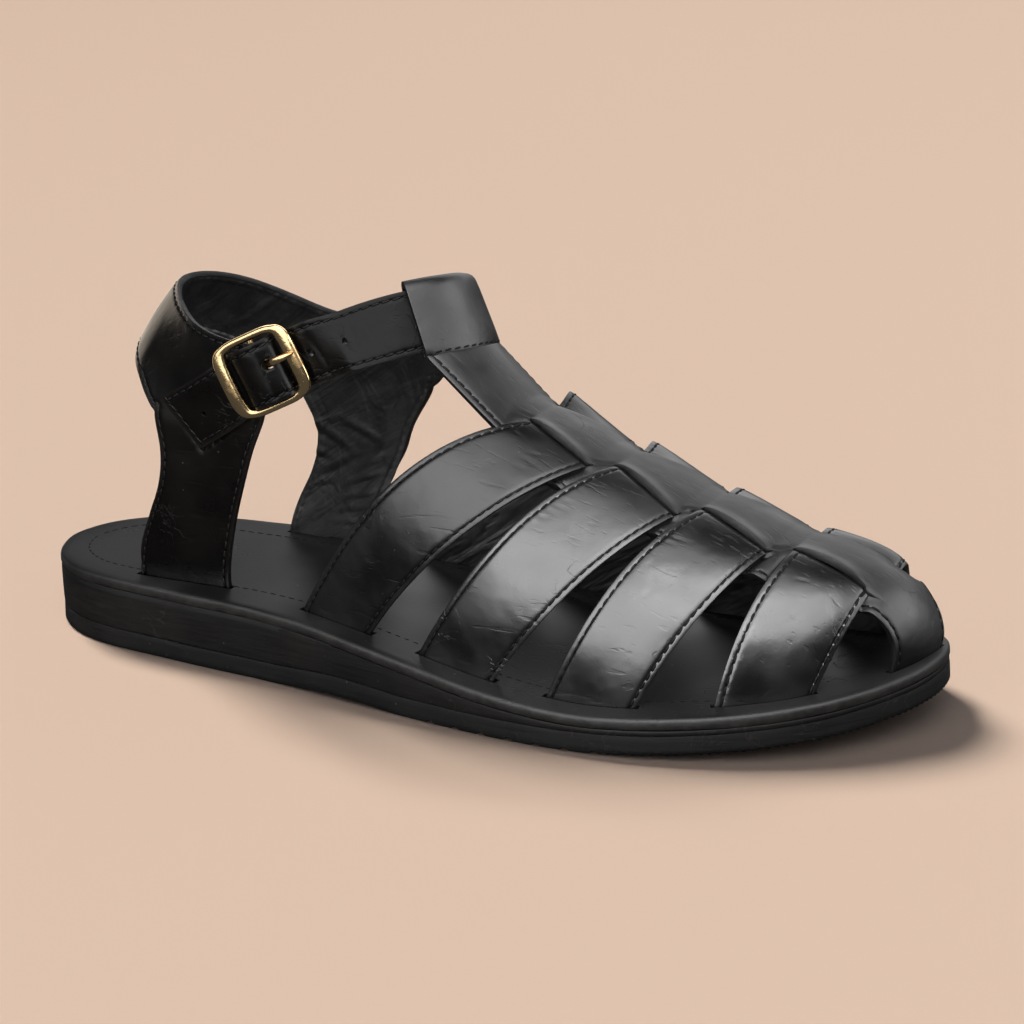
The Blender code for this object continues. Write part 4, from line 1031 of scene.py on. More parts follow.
GRAIN = grain_group()
WRINKLES = wrinkle_group()
DUST = dust_group()
SEAM = seam_group()
STRAP_COLOURS = (0.0055, 0.0055, 0.006), (0.010, 0.010, 0.0105)
STRAP_HIDE = polished_leather("strap_leather", *STRAP_COLOURS, 0.3, 0.28)
REAR_STRAP_HIDE = polished_leather("rear_strap_leather", *STRAP_COLOURS, 0.33, 0.14)
BAND_HIDE = polished_leather("band_leather", (0.007, 0.007, 0.0075), (0.013, 0.013, 0.0135), 0.4, 0.18)
QUARTER_HIDE = polished_leather("quarter_leather", (0.005, 0.005, 0.005), (0.009, 0.0085, 0.008), 0.3, 0.24,
                                dust=0.45, wrinkles=0.52)
CUT_EDGE = cut_edge("cut_edge", (0.034, 0.034, 0.035))
# The band's cut edge is a darker copy of the cut edge: painted shade, so that the cut faces in the slits stay
# dark; it darkens all of the band's edges.
BAND_EDGE_PAINTED_SHADE = cut_edge("band_edge_painted_shade", (0.016, 0.016, 0.016))
LINING = flesh_side("lining", (0.006, 0.0058, 0.0055), 0.95)
FLESH = flesh_side("flesh_side", (0.008, 0.008, 0.008), 0.1)
OUTSOLE_RUBBER = matt_rubber("outsole_rubber", (0.0075, 0.0075, 0.0078), 0.62)
WEDGE_RUBBER = matt_rubber("wedge_rubber", (0.0085, 0.0085, 0.0088), 0.58)
FOOTBED_HIDE = footbed_hide("footbed_leather", (0.0055, 0.0055, 0.006), (0.012, 0.012, 0.0125))
FOOTBED_EDGE = cut_edge("footbed_edge", (0.03, 0.03, 0.031))
BRASS = worn_brass("buckle_brass", 0.52)
PRONG_BRASS = worn_brass("prong_brass", 0.6)
THREAD = waxed_thread("waxed_thread", (0.0015, 0.0015, 0.0015), (0.005, 0.005, 0.005))
STITCH = one_stitch()


# ------------------------------------------------------------------ vamp band
MARGIN_STEPS = np.array([0.0, 0.08, 0.18, 0.29, 0.4, 0.52, 0.63])
MARGIN_SPAN = 0.75
MARGIN_EDGE = np.array(SEAM_STEPS[::-1])
SPINE_STEPS = np.linspace(0.0, 1.0, 19)


def band_offsets(half, slit, gap):
    """Offsets across the band, lateral edge to medial edge."""
    slit = min(slit, half - NARROWEST_MARGIN)
    start = slit + gap
    margin = start + (half - MARGIN_EDGE[0] - start) * MARGIN_STEPS / MARGIN_SPAN
    right = np.concatenate([(slit - gap) * SPINE_STEPS, margin, half - MARGIN_EDGE])
    return np.concatenate([-right[::-1], right[1:]])


def slit_opening(x):
    """Half opening of the slits at a station, and whether there is a slit."""
    for row in STRAPS:
        t = (x - row[2] + SLIT_TAIL) / (row[3] - row[2] + 2.0 * SLIT_TAIL)
        if 0.0 < t < 1.0:
            return SLIT_CLOSED + SLIT_OPEN * sin(pi * t) ** 0.6, True
    return SLIT_CLOSED, False


def band_line(x, half):
    """Points across the band at one station: its spine lies over the straps, its margins under them."""
    slit = float(slit_half(x))
    c = band_offsets(half, slit, slit_opening(x)[0])
    angle = angle_at(x, c)
    lift = max(sin(pi * ramp(x, *row[2:4])) ** 0.7 for row in STRAPS)
    past = np.abs(c) - slit
    drop = np.zeros_like(c)
    for row, fade in zip(STRAPS, MARGIN_FADE):
        behind = blend((x - strap_x(row, angle, 0.0) + 3.5) / 4.0)
        ahead = blend((strap_x(row, angle, 1.0) - x + fade) / (fade + 0.5))
        loose = blend((min(x - row[2], row[3] - x) + SLIT_TAIL) / LIP_WIDTH)
        drop = np.maximum(drop, behind * ahead * (loose + (1.0 - loose) * blend(past / LIP_WIDTH)))
    drop = drop * blend((x - T_STATION) / 4.0)
    lip = np.where(c < 0.0, *LIP_LIFT) * lift * np.exp(-(past / LIP_WIDTH) ** 2)
    level = np.where(past > 0.0, SPINE_LEVEL - MARGIN_DROP * drop, SPINE_LEVEL + SPINE_LIFT * lift + lip)
    return last_point(x, angle, level)


def station(number):
    """Upper and lower edge point of the ankle strap at any station, whole or part."""
    i = min(max(int(number), 0), len(QUARTER) - 2)
    rows = np.array([QUARTER[min(max(i + k, 0), len(QUARTER) - 1)] for k in (-1, 0, 1, 2)])
    return cubic(rows[1], 0.5 * (rows[2] - rows[0]), rows[2], 0.5 * (rows[3] - rows[1]), number - i)


def loop_lines():
    """Rows of the loop round the ankle strap, from the stitched inner end to the T."""
    gap = 0.5 * (QUARTER_LEATHER + LEATHER) + PIECE_GAP
    offsets = band_offsets(0.5 * T_WIDTH, LOOP_COLUMN, SLIT_CLOSED)
    rows = []
    for past_edge, n in LOOP_PROFILE:
        line = []
        for c in offsets:
            number = LOOP_MIDDLE - c * LOOP_STATIONS / T_WIDTH
            top, low = station(number)
            ahead = sum(station(number + 0.1)) - sum(station(number - 0.1))
            down = unit(low - top)
            out = unit(np.cross(ahead, down))
            half = 0.5 * np.linalg.norm(low - top)
            d = np.sign(past_edge) * half + past_edge if abs(past_edge) > 0.01 else 0.0
            line.append(0.5 * (top + low) + down * d + out * n * gap)
        rows.append(line)
    return np.array(rows)


def toe_lines():
    """Rows of the band's toe end, turned down into the footbed and bowed round the toes."""
    rows = []
    for x, y, z, half, turn in TOE_END:
        a = radians(turn)
        along = np.array((sin(a), cos(a), 0.0))
        line = []
        for c in band_offsets(half, 12.0, SLIT_CLOSED):
            bow = TOE_BOW * c * c
            fall = TOE_FALL * c * c * float(ramp(z, 22.0, 38.0))
            line.append(np.array((x, y, z)) + along * c - np.array((cos(a) * bow, -sin(a) * bow, fall)))
        rows.append(line)
    return np.array(rows)


def band_at(x):
    """Points across the band at a station, with its own width there."""
    knots = np.array(BAND)
    return band_line(x, float(hermite(knots[:, 0], knots[:, 1], x)))


def build_band():
    """Vamp band: loop, T, woven spine with its two rows of slits, and the toe end tucked into the footbed."""
    loop = loop_lines()
    flat = band_at(T_STATION)
    head = list(loop)
    for t in (0.02, 0.04, 0.25, 0.5, 0.75):
        head.append(loop[-1] * (1.0 - t) + flat * t)
    head += [flat, band_at(T_STATION + 3.0)]
    first, marks = fine_rows(head, 0.9)
    first = first[:marks[-2]]
    stations = np.arange(T_STATION, BAND_END, 0.7)
    middle = np.array([band_at(x) for x in stations])
    last, marks_toe = fine_rows([band_at(269.5), band_at(272.5), *toe_lines()], 0.8)
    last = last[marks_toe[1] + 1:]
    points = np.concatenate([first, middle, last])
    rows, columns = points.shape[:2]
    keep = np.ones((rows - 1, columns - 1), bool)
    left = len(MARGIN_EDGE) + len(MARGIN_STEPS) - 1
    for k, x in enumerate(stations[:-1]):
        if slit_opening(0.5 * (x + stations[k + 1]))[1]:
            keep[len(first) + k, [left, columns - 2 - left]] = False
    points = points[:, ::-1]
    cross = marks[len(loop) - 1]
    seams = side_seams(range(cross + 2, rows), columns)
    folds = band_creases(len(first), stations, rows)
    # The band's edges take the darker copy of the cut edge, painted shade for the slits.
    band, lines = sewn_sheet(points, seams, folds, LEATHER, (BAND_HIDE, BAND_EDGE_PAINTED_SHADE, FLESH), keep)
    finish_piece(band, "vamp_band", "upper_leather", "upper")
    upright = grid_normals(points)[cross - 2, 4:-4]
    across = points[cross - 2, 4:-4] + upright * 0.5 * LEATHER
    sew("band_stitches", lines + [(across, upright, row_places(across))])


def band_creases(first, stations, rows):
    """Tension folds that fan out from the ends of the slits."""
    table = []
    for row in STRAPS:
        for x, way in ((row[2] - 2.0, -1.0), (row[3] + 2.0, 1.0)):
            place = (first + np.argmin(np.abs(stations - x))) / (rows - 1)
            for side, share in ((-1, 0.27), (1, 0.73)):
                for turn, length, depth in SLIT_FOLDS:
                    table.append((place, share, side * way * turn, length, 0.7, depth))
    return table


# ------------------------------------------------------------------ cross straps
def build_strap(number, row, puff):
    """One cross strap, from its lateral slot over the last, under the spine, to its medial slot."""
    turns = np.linspace(0.0, 180.0, 200)
    angle, share = np.meshgrid(turns, edge_spread(STRAP_WIDTH, 0.9) / STRAP_WIDTH, indexing="ij")
    x = strap_x(row, angle, share)
    offset = np.abs(last_point(x, angle, 0.0)[..., 1] - ridge(x)[0])
    over = blend((offset - slit_half(x) + STRAP_CROSSING) / (2.0 * STRAP_CROSSING))
    crown = -STRAP_CROWN * np.abs(2.0 * share - 1.0) ** 3
    stand = np.where(angle > 90.0, strap_puff(row, puff, angle, share), 0.0)
    points = last_point(x, angle, -0.5 * LEATHER - STRAP_DIP * (1.0 - over) + crown + stand)
    down = np.array((0.0, 0.0, 1.0))
    below = [points[0] - down * d for d in (3.0, 2.0, 1.0)]
    above = [points[-1] - down * d for d in (1.0, 2.0, 3.0)]
    points = np.concatenate([np.array(below), points, np.array(above)])
    rows, columns = points.shape[:2]
    name = "cross_strap_%d" % number
    hide = REAR_STRAP_HIDE if number == 1 else STRAP_HIDE
    strap, lines = sewn_sheet(points, side_seams(range(rows), columns), STRAP_CREASES[number - 1], LEATHER,
                              (hide, CUT_EDGE, FLESH))
    finish_piece(strap, name, "upper_leather", "upper")
    sew("strap_%d_stitches" % number, lines)


# ------------------------------------------------------------------ heel quarter
def buckle_axes():
    """Unit directions of the buckle: along the strap, across it and out of the ankle."""
    along = unit(BUCKLE_ALONG)
    out = unit(BUCKLE_OUT - along * np.dot(BUCKLE_OUT, along))
    return along, np.cross(out, along), out


def buckle_point(a, b, c):
    """Place of a point given along, across and out of the buckle."""
    along, across, out = buckle_axes()
    return BUCKLE_CENTRE + along * a + across * b + out * c


def bulged(top, low, count, bow):
    """Points from the upper edge to the lower edge of the quarter, bowed outwards from the ankle."""
    middle = 0.5 * (top + low)
    out = unit((middle[0] - ANKLE_X, ANKLE_WIDENING * middle[1], 0.0))
    return [top * (1 - t) + low * t + out * bow * 4.0 * t * (1 - t) for t in np.linspace(0.0, 1.0, count)]


def quarter_lines():
    """Rows round the collar and along the ankle strap to its end, each from upper to lower edge."""
    rows = []
    for number in np.arange(0.0, len(QUARTER) - 0.9, 0.5):
        fade = float(blend((COLLAR_END - number) / COLLAR_FADE))
        rows.append(bulged(*station(number), 5, COLLAR_BOW * fade + STRAP_BOW))
    for a, level, middle, lead in BUCKLE_RUN:
        half = STRAP_HALF if a > 10.0 else WINDOW_HALF
        rows.append([buckle_point(a + lead * t, middle + half * t, level) for t in np.linspace(1.0, -1.0, 5)])
    return np.array(rows)


def leg_sheets(collar, marks):
    """Both legs: first and last row of the collar that each hangs from, and its rows down to the footbed."""
    sheets = []
    for start, stop, leg in ((0, 4, LATERAL_LEG), (12, 16, MEDIAL_LEG)):
        first, last = marks[2 * start], marks[2 * stop]
        share = np.linspace(0.0, 1.0, last - first + 1)[:, None]
        levels = [collar[first:last + 1, -6], collar[first:last + 1, -1]]
        for rear, front in leg:
            a, b = (front, rear) if start == 0 else (rear, front)
            levels.append(np.array(a) * (1.0 - share) + np.array(b) * share)
        fine, steps = fine_rows(levels, 0.8)
        sheets.append((first, last, fine[steps[1] + 1:]))
    return sheets


def quarter_seams(sheets, rows, width):
    """Seam paths round the quarter: upper edge, strap end, sides of both legs, lower edge between them."""
    seams = [([(i, 0) for i in range(rows)], (0, 1)), ([(rows - 1, j) for j in range(width)], (-1, 0))]
    for first, last, sheet in sheets:
        foot = width + len(sheet) - 4
        top = width - 3 if first > 0 else 0
        seams.append(([(first, j) for j in range(top, foot)], (1, 0)))
        seams.append(([(last, j) for j in range(width - 3, foot)], (-1, 0)))
    for before, after in ((sheets[0][1], sheets[1][0]), (sheets[1][1], rows - 1)):
        seams.append(([(i, width - 1) for i in range(before, after + 1)], (0, -1)))
    return seams


def build_quarter():
    """Heel collar with both legs and the ankle strap, one cut of leather."""
    coarse, marks = fine_rows(quarter_lines(), 0.62)
    across = np.swapaxes(coarse, 0, 1)
    spread = edge_spread(QUARTER_WIDTH, 1.0) / QUARTER_WIDTH * row_places(across)[-1]
    collar = np.swapaxes(curve_rows(across, spread), 0, 1)
    rows, width = collar.shape[:2]
    sheets = leg_sheets(collar, marks)
    tall = max(len(sheet) for _, _, sheet in sheets)
    points = np.concatenate([collar, np.repeat(collar[:, -1:], tall, axis=1)], axis=1)
    keep = np.zeros((rows - 1, width + tall - 1), bool)
    keep[:, :width - 1] = True
    for first, last, sheet in sheets:
        points[first:last + 1, width:width + len(sheet)] = np.swapaxes(sheet, 0, 1)
        points[first:last + 1, width + len(sheet):] = sheet[-1][:, None]
        keep[first:last, width - 1:width + len(sheet) - 1] = True
        for _ in range(6):
            block = points[first:last + 1]
            mean = 0.5 * (block[:, width - 6:width + 4] + block[:, width - 4:width + 6])
            block[:, width - 5:width + 5] = 0.5 * block[:, width - 5:width + 5] + 0.5 * mean
    points = points[:, ::-1]
    end = points.shape[1] - 1
    seams = [([(i, end - j) for i, j in path], (step[0], -step[1]))
             for path, step in quarter_seams(sheets, rows, width)]
    folds = [(*share_of(points, fold[:3]), *fold[3:]) for fold in QUARTER_FOLDS]
    quarter, lines = sewn_sheet(points, seams, folds, QUARTER_LEATHER, (QUARTER_HIDE, CUT_EDGE, LINING),
                                keep[:, ::-1])
    punch_holes(quarter)
    finish_piece(quarter, "heel_quarter", "quarter_leather", "quarter")
    sew("quarter_stitches", lines)


def punch_holes(quarter):
    """Holes of the ankle strap, punched square to it."""
    turn = Matrix(buckle_axes()).transposed().to_4x4()
    for a, b, c, radius in STRAP_HOLES:
        only()
        place = Vector(in_place(buckle_point(a, b, c)))
        bpy.ops.mesh.primitive_cylinder_add(vertices=20, radius=radius * MM, depth=5.0 * MM)
        punch = bpy.context.object
        punch.matrix_world = Matrix.Translation(place) @ turn
        punch.data.materials.append(CUT_EDGE)
        cut_away(quarter, punch, material_mode="TRANSFER")


def lug_lines(sides):
    """Strip from inside the quarter's front edge, under the centre bar and up round it."""
    radius = BAR_RADIUS + PIECE_GAP + 0.5 * LUG_THICK
    path = LUG_ROOT + [(LUG_BEND[0], CENTRE_BAR_DROP - radius - LUG_BEND[1])]
    for turn in range(0, 211, 30):
        path.append((radius * sin(radians(turn)), CENTRE_BAR_DROP - radius * cos(radians(turn))))
    return np.array([[buckle_point(a, b, c) for b in np.linspace(*sides, 6)] for a, c in path])


def build_lugs():
    """Two lugs that hook round the centre bar, one on each side of the prong, without seams."""
    for name, sides in (("upper", (PRONG_ACROSS + LUG_GAP, LUG_REACH[1])),
                        ("lower", (LUG_REACH[0], PRONG_ACROSS - LUG_GAP))):
        points, _ = fine_rows(lug_lines(sides), 0.7)
        flat = np.zeros(points.shape[:2])
        lug = cut_sheet(points, flat, flat + 9.0, LUG_THICK, (QUARTER_HIDE, CUT_EDGE, LINING))
        finish_piece(lug, "buckle_lug_" + name, "quarter_leather")


# ------------------------------------------------------------------ sole
def side_wave(count, scale, seed):
    """Slow unevenness of a hand-finished edge, round the outline."""
    t = np.linspace(0.0, 2.0 * pi, count, endpoint=False)
    wave = np.sin(7 * t + seed) + 0.6 * np.sin(17 * t + 2.1 * seed) + 0.35 * np.sin(41 * t + 3.7 * seed)
    return scale * wave / 2.0


def side_rings(table, wave, height):
    """Rings of a layer's side: each row of its table gives a distance in, then the terms of its height."""
    return [np.column_stack([outline_ring(row[0] + wave, len(wave)), height(*row[1:])]) for row in table]


def close_ends(body, rings, across):
    """Top and bottom of a body of rings, closed from the lateral to the medial side in narrow strips."""
    count = len(rings[0])
    half = count // 2
    mesh = body.data
    points = [tuple(v.co) for v in mesh.vertices]
    faces = [tuple(face.vertices) for face in mesh.polygons]
    spread = blend(np.linspace(0.0, 1.0, across + 1))
    for level, up in ((0, False), (len(rings) - 1, True)):
        base = level * count
        table = []
        for i in range(half + 1):
            left, right = base + i, base + (count - i) % count
            if left == right:
                table.append([left] * (across + 1))
                continue
            row = [left]
            a, b = np.array(points[left]), np.array(points[right])
            for t in spread[1:-1]:
                row.append(len(points))
                points.append(tuple(a * (1 - t) + b * t))
            table.append(row + [right])
        for i in range(half):
            for k in range(across):
                face = [table[i][k], table[i + 1][k], table[i + 1][k + 1], table[i][k + 1]]
                face = list(dict.fromkeys(face))
                if len(face) > 2:
                    faces.append(tuple(face if up else reversed(face)))
    made = bpy.data.meshes.new(body.name)
    made.from_pydata(points, [], faces)
    old = body.data
    body.data = made
    bpy.data.meshes.remove(old)
    face_out(body)


def layer_body(rings, across, *looks):
    """Closed body of a sole layer, with its materials."""
    body = extruded_rings(rings)
    close_ends(body, rings, across)
    for look in looks:
        body.data.materials.append(look)
    return body


def finish_layer(body, name, slot, layer):
    """Sole layer shaded smooth up to its edges, named, and put in place of its CAD node."""
    only(body)
    bpy.ops.object.shade_smooth_by_angle(angle=radians(SMOOTH_ANGLE))
    finish_piece(body, name, slot, layer)


def cut_groove(body, x, reach):
    """Groove across the tread, narrower at its floor."""
    low = float(ground_lift(x))
    only()
    bpy.ops.mesh.primitive_cylinder_add(vertices=4, radius=1.0, depth=2.0 * reach * MM)
    groove = bpy.context.object
    bpy.ops.object.transform_apply()
    corner = [(x - GROOVE_WIDTH, low - 1.0), (x + GROOVE_WIDTH, low - 1.0),
              (x + GROOVE_FLOOR, low + GROOVE_DEPTH), (x - GROOVE_FLOOR, low + GROOVE_DEPTH)]
    for k, vertex in enumerate(groove.data.vertices):
        side = -reach if vertex.co.z < 0.0 else reach
        a, c = corner[k // 2]
        vertex.co = Vector(in_place((a, side, c)))
    cut_away(body, groove)


def build_outsole():
    """Grooved rubber outsole, with a fine ripple round its toe."""
    ring = outline_ring(0.0, OUTSOLE_POINTS)
    length = row_places(ring)
    share = blend((ring[:, 0] - RIPPLE_START) / RIPPLE_FADE)
    ripple = share * RIPPLE_DEPTH * np.abs(np.sin(pi * length / RIPPLE_PITCH))
    tread = ground_lift(ring[:, 0])
    rings = side_rings(OUTSOLE_SIDE, side_wave(OUTSOLE_POINTS, 0.12, 1.3),
                       lambda up, toothed: tread + up + ripple * toothed)
    body = layer_body(rings, 10, OUTSOLE_RUBBER)
    for first, number, reach in TREAD:
        for x in np.arange(first, first + (number - 0.5) * GROOVE_PITCH, GROOVE_PITCH):
            cut_groove(body, x, reach)
    finish_layer(body, "outsole_visible", "outsole_rubber", "outsole")


def build_wedge():
    """Rubber wedge between the outsole and the footbed, with a fine gap above and below."""
    ring = outline_ring(0.0, LAYER_POINTS)
    low = ground_lift(ring[:, 0]) + OUTSOLE_THICK + WEDGE_RAISE[0]
    high = footbed_top(ring[:, 0]) - FOOTBED_THICK - LAYER_GAP + WEDGE_RAISE[1]
    rings = side_rings(WEDGE_SIDE, side_wave(LAYER_POINTS, 0.16, 4.2),
                       lambda share: low * (1.0 - share) + high * share)
    finish_layer(layer_body(rings, 10, WEDGE_RUBBER), "wedge_visible", "wedge_rubber", "wedge")


def slot_blade(ends):
    """Blade that cuts one slot: a thin upright box bent along the strap's foot."""
    first = ends[0] + unit(ends[0] - ends[1]) * SLOT_EXTRA
    last = ends[-1] + unit(ends[-1] - ends[-2]) * SLOT_EXTRA
    line = np.concatenate([[first], ends[1:-1], [last]])
    rows = np.array([line + np.array((0.0, 0.0, z)) for z in (SLOT_BOTTOM, SLOT_TOP)])
    only()
    bpy.ops.mesh.primitive_grid_add(x_subdivisions=len(line) - 1, y_subdivisions=1, size=1.0)
    blade = bpy.context.object
    set_points(blade, rows.reshape(-1, 3))
    apply_modifier(blade, "SOLIDIFY", thickness=(LEATHER + 2.0 * SLOT_CLEARANCE) * MM, offset=0.0)
    blade.data.materials.append(FOOTBED_EDGE)
    return blade


def strap_foot(row, angle):
    """Middle of the leather where a strap enters its slot, rear edge to front edge."""
    share = np.linspace(0.0, 1.0, 5)
    return last_point(strap_x(row, np.full(5, angle), share), np.full(5, angle), -0.5 * LEATHER)


def build_footbed():
    """Leather footbed with a slot for every strap, both legs and the toe end, and its line of stitches."""
    top = footbed_top(outline_ring(0.0, LAYER_POINTS)[:, 0])
    dip = 0.25 * side_wave(LAYER_POINTS, 1.0, 5.1)
    rings = side_rings(FOOTBED_SIDE, side_wave(LAYER_POINTS, 0.22, 2.6),
                       lambda down, loose: top - down + dip * loose)
    body = layer_body(rings, 24, FOOTBED_HIDE, FOOTBED_EDGE)
    for face in body.data.polygons:
        if abs(face.normal.z) < 0.6:
            face.material_index = 1
    feet = [strap_foot(row, angle) for row in STRAPS for angle in (0.0, 180.0)]
    for leg in (LATERAL_LEG, MEDIAL_LEG):
        rear, front = np.array(leg[-2])
        feet.append(np.array([rear, 0.5 * (rear + front), front]))
    feet.append(toe_lines()[-2][::6])
    for foot in feet:
        cut_away(body, slot_blade(foot), material_mode="TRANSFER")
    finish_layer(body, "footbed_visible", "footbed_leather", "footbed")
    rows = np.array(FOOTBED_SEAM)
    inset = np.interp(outline_ring(0.0, SEAM_POINTS)[:, 0], rows[:, 0], rows[:, 1])
    seam = outline_ring(inset, SEAM_POINTS)
    seam = np.vstack([seam, seam[:1]])
    line = np.column_stack([seam, footbed_top(seam[:, 0])])
    up = np.tile((0.0, 0.0, 1.0), (len(line), 1))
    sew("footbed_stitches", [(line, up, row_places(line))], pitch=3.4, length=2.7, thick=0.34, sunk=0.1,
        slant=0.0)


# ------------------------------------------------------------------ buckle
def squarish(turn, power):
    """Point of a circle drawn out towards a square, the more so the smaller the power."""
    c, s = cos(turn), sin(turn)
    return np.sign(c) * abs(c) ** power, np.sign(s) * abs(s) ** power


def rounded_bar(name, knots, look, *nodes, closed=False, sides=20, power=2.8):
    """Bar with a rounded section.  Each knot: centre, ways of its width and thickness, half sizes."""
    section = [squarish(turn, 2.0 / power) for turn in np.linspace(0.0, 2.0 * pi, sides, endpoint=False)]
    rows = [[centre + wide * u * half_wide + thick * w * half_thick for u, w in section]
            for centre, wide, thick, half_wide, half_thick in knots]
    bar = extruded_rings(rows, capped=not closed)
    if closed:
        edit("DESELECT")
        leave_edit()
        end = (len(rows) - 1) * sides
        for edge in bar.data.edges:
            edge.select = max(edge.vertices) < sides or min(edge.vertices) >= end
        bpy.ops.object.mode_set(mode="EDIT")
        bpy.ops.mesh.bridge_edge_loops()
        leave_edit()
    face_out(bar)
    bar.data.materials.append(look)
    bpy.ops.object.shade_smooth_by_angle(angle=radians(50))
    finish_piece(bar, name, "buckle_metal", *nodes)


def build_frame():
    """Rectangular frame, wider at both ends and bowed across."""
    along, across, out = buckle_axes()
    half_long = 0.5 * (BUCKLE_LENGTH - FRAME_BAR)
    half_wide = 0.5 * (BUCKLE_WIDTH - FRAME_SIDE)
    turns = [squarish(turn, FRAME_POWER) for turn in np.linspace(0.0, 2.0 * pi, 120, endpoint=False)]
    ring = [(half_long * u, half_wide * w) for u, w in turns]
    knots = []
    for k, (a, b) in enumerate(ring):
        ahead = np.array(ring[(k + 1) % len(ring)]) - np.array(ring[k - 1])
        normal = unit((ahead[1], -ahead[0]))
        end = float(blend((abs(a) - FRAME_END_START * BUCKLE_LENGTH) / (FRAME_END_FADE * BUCKLE_LENGTH)))
        width = 0.5 * (FRAME_SIDE + (FRAME_BAR - FRAME_SIDE) * end)
        crown = FRAME_BOW * (1.0 - (2.0 * b / BUCKLE_WIDTH) ** 2)
        knots.append((buckle_point(a, b, crown), along * normal[0] + across * normal[1], out, width,
                      0.5 * FRAME_THICK))
    rounded_bar("buckle_frame_visible", knots, BRASS, "buckle_frame", closed=True)


def build_centre_bar():
    """Round bar across the middle of the frame."""
    along, _, out = buckle_axes()
    reach = 0.5 * (BUCKLE_WIDTH - FRAME_SIDE)
    knots = [(buckle_point(0.0, b, CENTRE_BAR_DROP), along, out, BAR_RADIUS, BAR_RADIUS)
             for b in np.linspace(-reach, reach, 12)]
    rounded_bar("buckle_centre_bar", knots, BRASS, sides=16, power=2.0)


def build_prong():
    """Flat prong, its eye round the centre bar and its pinched tip on the front bar."""
    along, across, out = buckle_axes()
    eye = BAR_RADIUS + PIECE_GAP + 0.5 * PRONG_THICK
    rest = FRAME_BOW + 0.5 * FRAME_THICK + 0.5 * PRONG_THICK + PIECE_GAP
    path = [(eye * cos(radians(turn)), CENTRE_BAR_DROP + eye * sin(radians(turn)), 1.0)
            for turn in range(310, 70, -24)]
    path += PRONG_RISE + [(a, rest, size) for a, size in PRONG_TIP]
    path, _ = fine_rows(np.array(path), 0.6)
    knots = []
    for k, (a, c, size) in enumerate(path):
        before = path[max(k - 1, 0)]
        ahead = path[min(k + 1, len(path) - 1)]
        run = unit((ahead[0] - before[0], ahead[1] - before[1]))
        knots.append((buckle_point(a, PRONG_ACROSS, c), across, out * run[0] - along * run[1],
                      0.5 * PRONG_WIDTH * size, 0.5 * PRONG_THICK * (0.4 + 0.6 * size)))
    rounded_bar("buckle_prong_visible", knots, PRONG_BRASS, "buckle_prong")


# ------------------------------------------------------------------ studio
def soft_light(name, kind, place, power, turn=0.0, size=None, chosen=(), state="INCLUDE"):
    """Light aimed at the sandal; a panel only puts a sheen on the chosen pieces, or on all but those."""
    data = bpy.data.lights.new(name, kind)
    data.energy = power
    lamp = bpy.data.objects.new(name, data)
    bpy.context.scene.collection.objects.link(lamp)
    lamp.location = place
    aim = (LIGHTS_AIM - Vector(place)).to_track_quat("-Z", "Y").to_matrix()
    lamp.rotation_euler = (aim @ Matrix.Rotation(radians(turn), 3, "Z")).to_euler()
    if size:
        data.shape = "RECTANGLE"
        data.size, data.size_y = size
        lamp.visible_diffuse = False
        lamp.visible_camera = False
        lit = bpy.data.collections.new(name + "_pieces")
        for piece in chosen:
            lit.objects.link(piece)
        for entry in lit.collection_objects:
            entry.light_linking.link_state = state
        lamp.light_linking.receiver_collection = lit
    return lamp


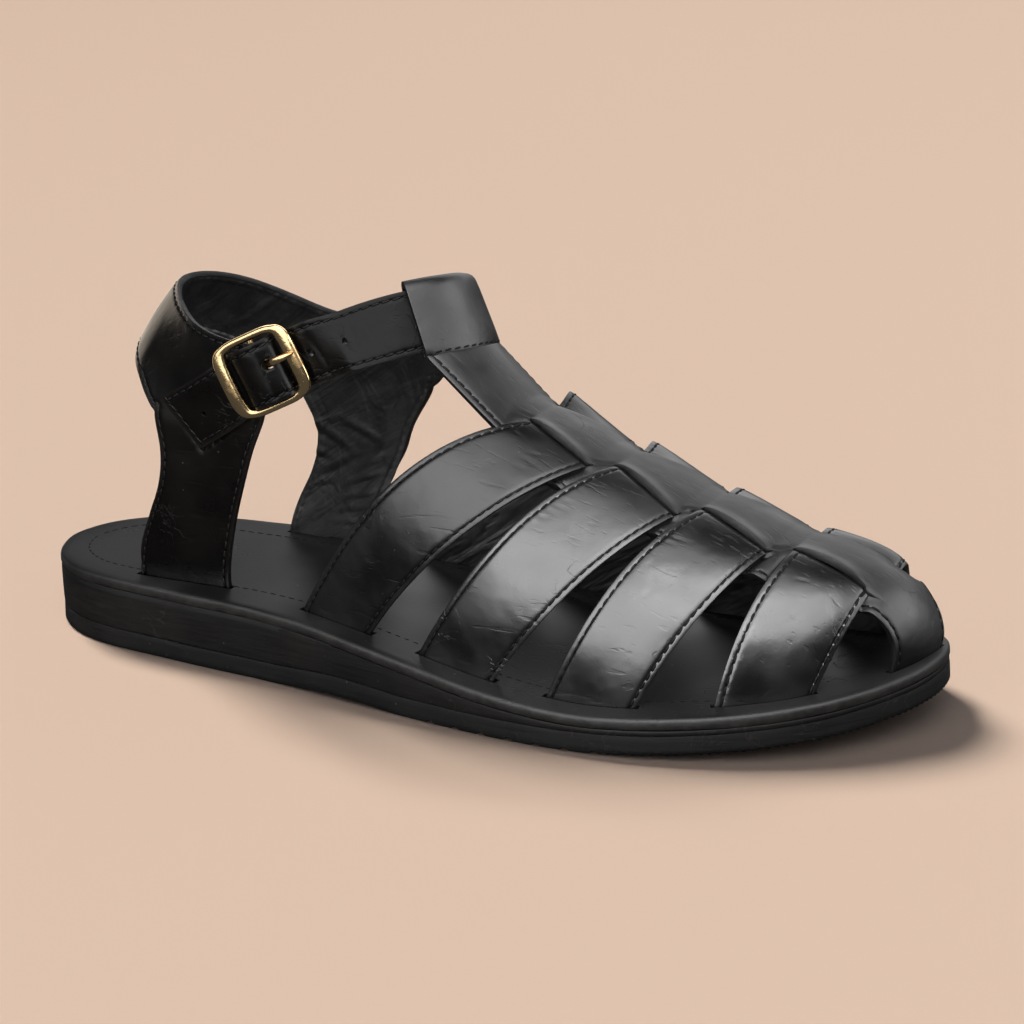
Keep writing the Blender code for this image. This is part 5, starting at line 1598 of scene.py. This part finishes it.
def build_floor():
    """Dim sky, and a plain paper floor that neither reflects in the sandal nor shades it."""
    world = bpy.data.worlds.new("studio")
    bpy.context.scene.world = world
    world.use_nodes = True
    sky = world.node_tree.nodes["Background"].inputs
    sky["Color"].default_value = SKY_COLOUR
    sky["Strength"].default_value = SKY_POWER
    only()
    bpy.ops.mesh.primitive_plane_add(size=FLOOR_SIZE, location=(0.0, 0.0, 0.0))
    floor = bpy.context.object
    floor.name = "floor"
    made, tree, shader, place = new_material("floor_paper")
    plug(tree, shader["Base Color"], mixed(tree, noise(tree, place, 1.2, 1.0), *FLOOR_COLOURS))
    shader["Roughness"].default_value = 0.9
    shader["Specular IOR Level"].default_value = 0.1
    floor.data.materials.append(made)
    floor.visible_glossy = False
    floor.visible_shadow = False


def light_sandal():
    """One distant key light for the shade, and panels for the sheen on each set of pieces."""
    heel = [piece for piece in bpy.data.objects if piece.name.startswith(("buckle_", "heel_quarter"))]
    band = [piece for piece in bpy.data.objects if piece.name.startswith(("vamp_band", "band_stitches"))]
    sets = (("", heel + band, "EXCLUDE"), ("_on_band", band, "INCLUDE"), ("_at_heel", heel, "INCLUDE"))
    for name, place, size, turn, *powers in PANELS:
        for power, (label, pieces, state) in zip(powers, sets):
            if power:
                soft_light(name + label, "AREA", place, power, turn, size, pieces, state)
    bpy.data.lights["heel_panel_at_heel"].color = WARM_LIGHT
    key = soft_light("overhead_key", "SUN", KEY_PLACE, KEY_POWER)
    key.data.angle = radians(KEY_WIDTH)
    key.visible_glossy = False


def place_camera():
    """Camera at its place, aimed at its target and rolled about its view."""
    scene = bpy.context.scene
    scene.view_settings.view_transform = "Standard"
    data = bpy.data.cameras.new("camera")
    data.lens = CAMERA_LENS
    data.sensor_width = SENSOR_WIDTH
    data.clip_start, data.clip_end = 0.01, 40.0
    camera = bpy.data.objects.new("camera", data)
    scene.collection.objects.link(camera)
    back = (CAMERA_PLACE - CAMERA_TARGET).normalized()
    level = Vector((0.0, 0.0, 1.0)).cross(back).normalized()
    up = back.cross(level)
    a = radians(CAMERA_ROLL)
    right = level * cos(a) + up * sin(a)
    top = up * cos(a) - level * sin(a)
    turn = Matrix((right, top, back)).transposed().to_4x4()
    camera.matrix_world = Matrix.Translation(CAMERA_PLACE) @ turn
    scene.camera = camera


build_outsole()
build_wedge()
build_footbed()
build_band()
for number, (row, puff) in enumerate(zip(STRAPS, STRAP_PUFF), 1):
    build_strap(number, row, puff)
build_quarter()
build_lugs()
build_frame()
build_centre_bar()
build_prong()
build_floor()
light_sandal()
place_camera()

bpy.context.view_layer.update()
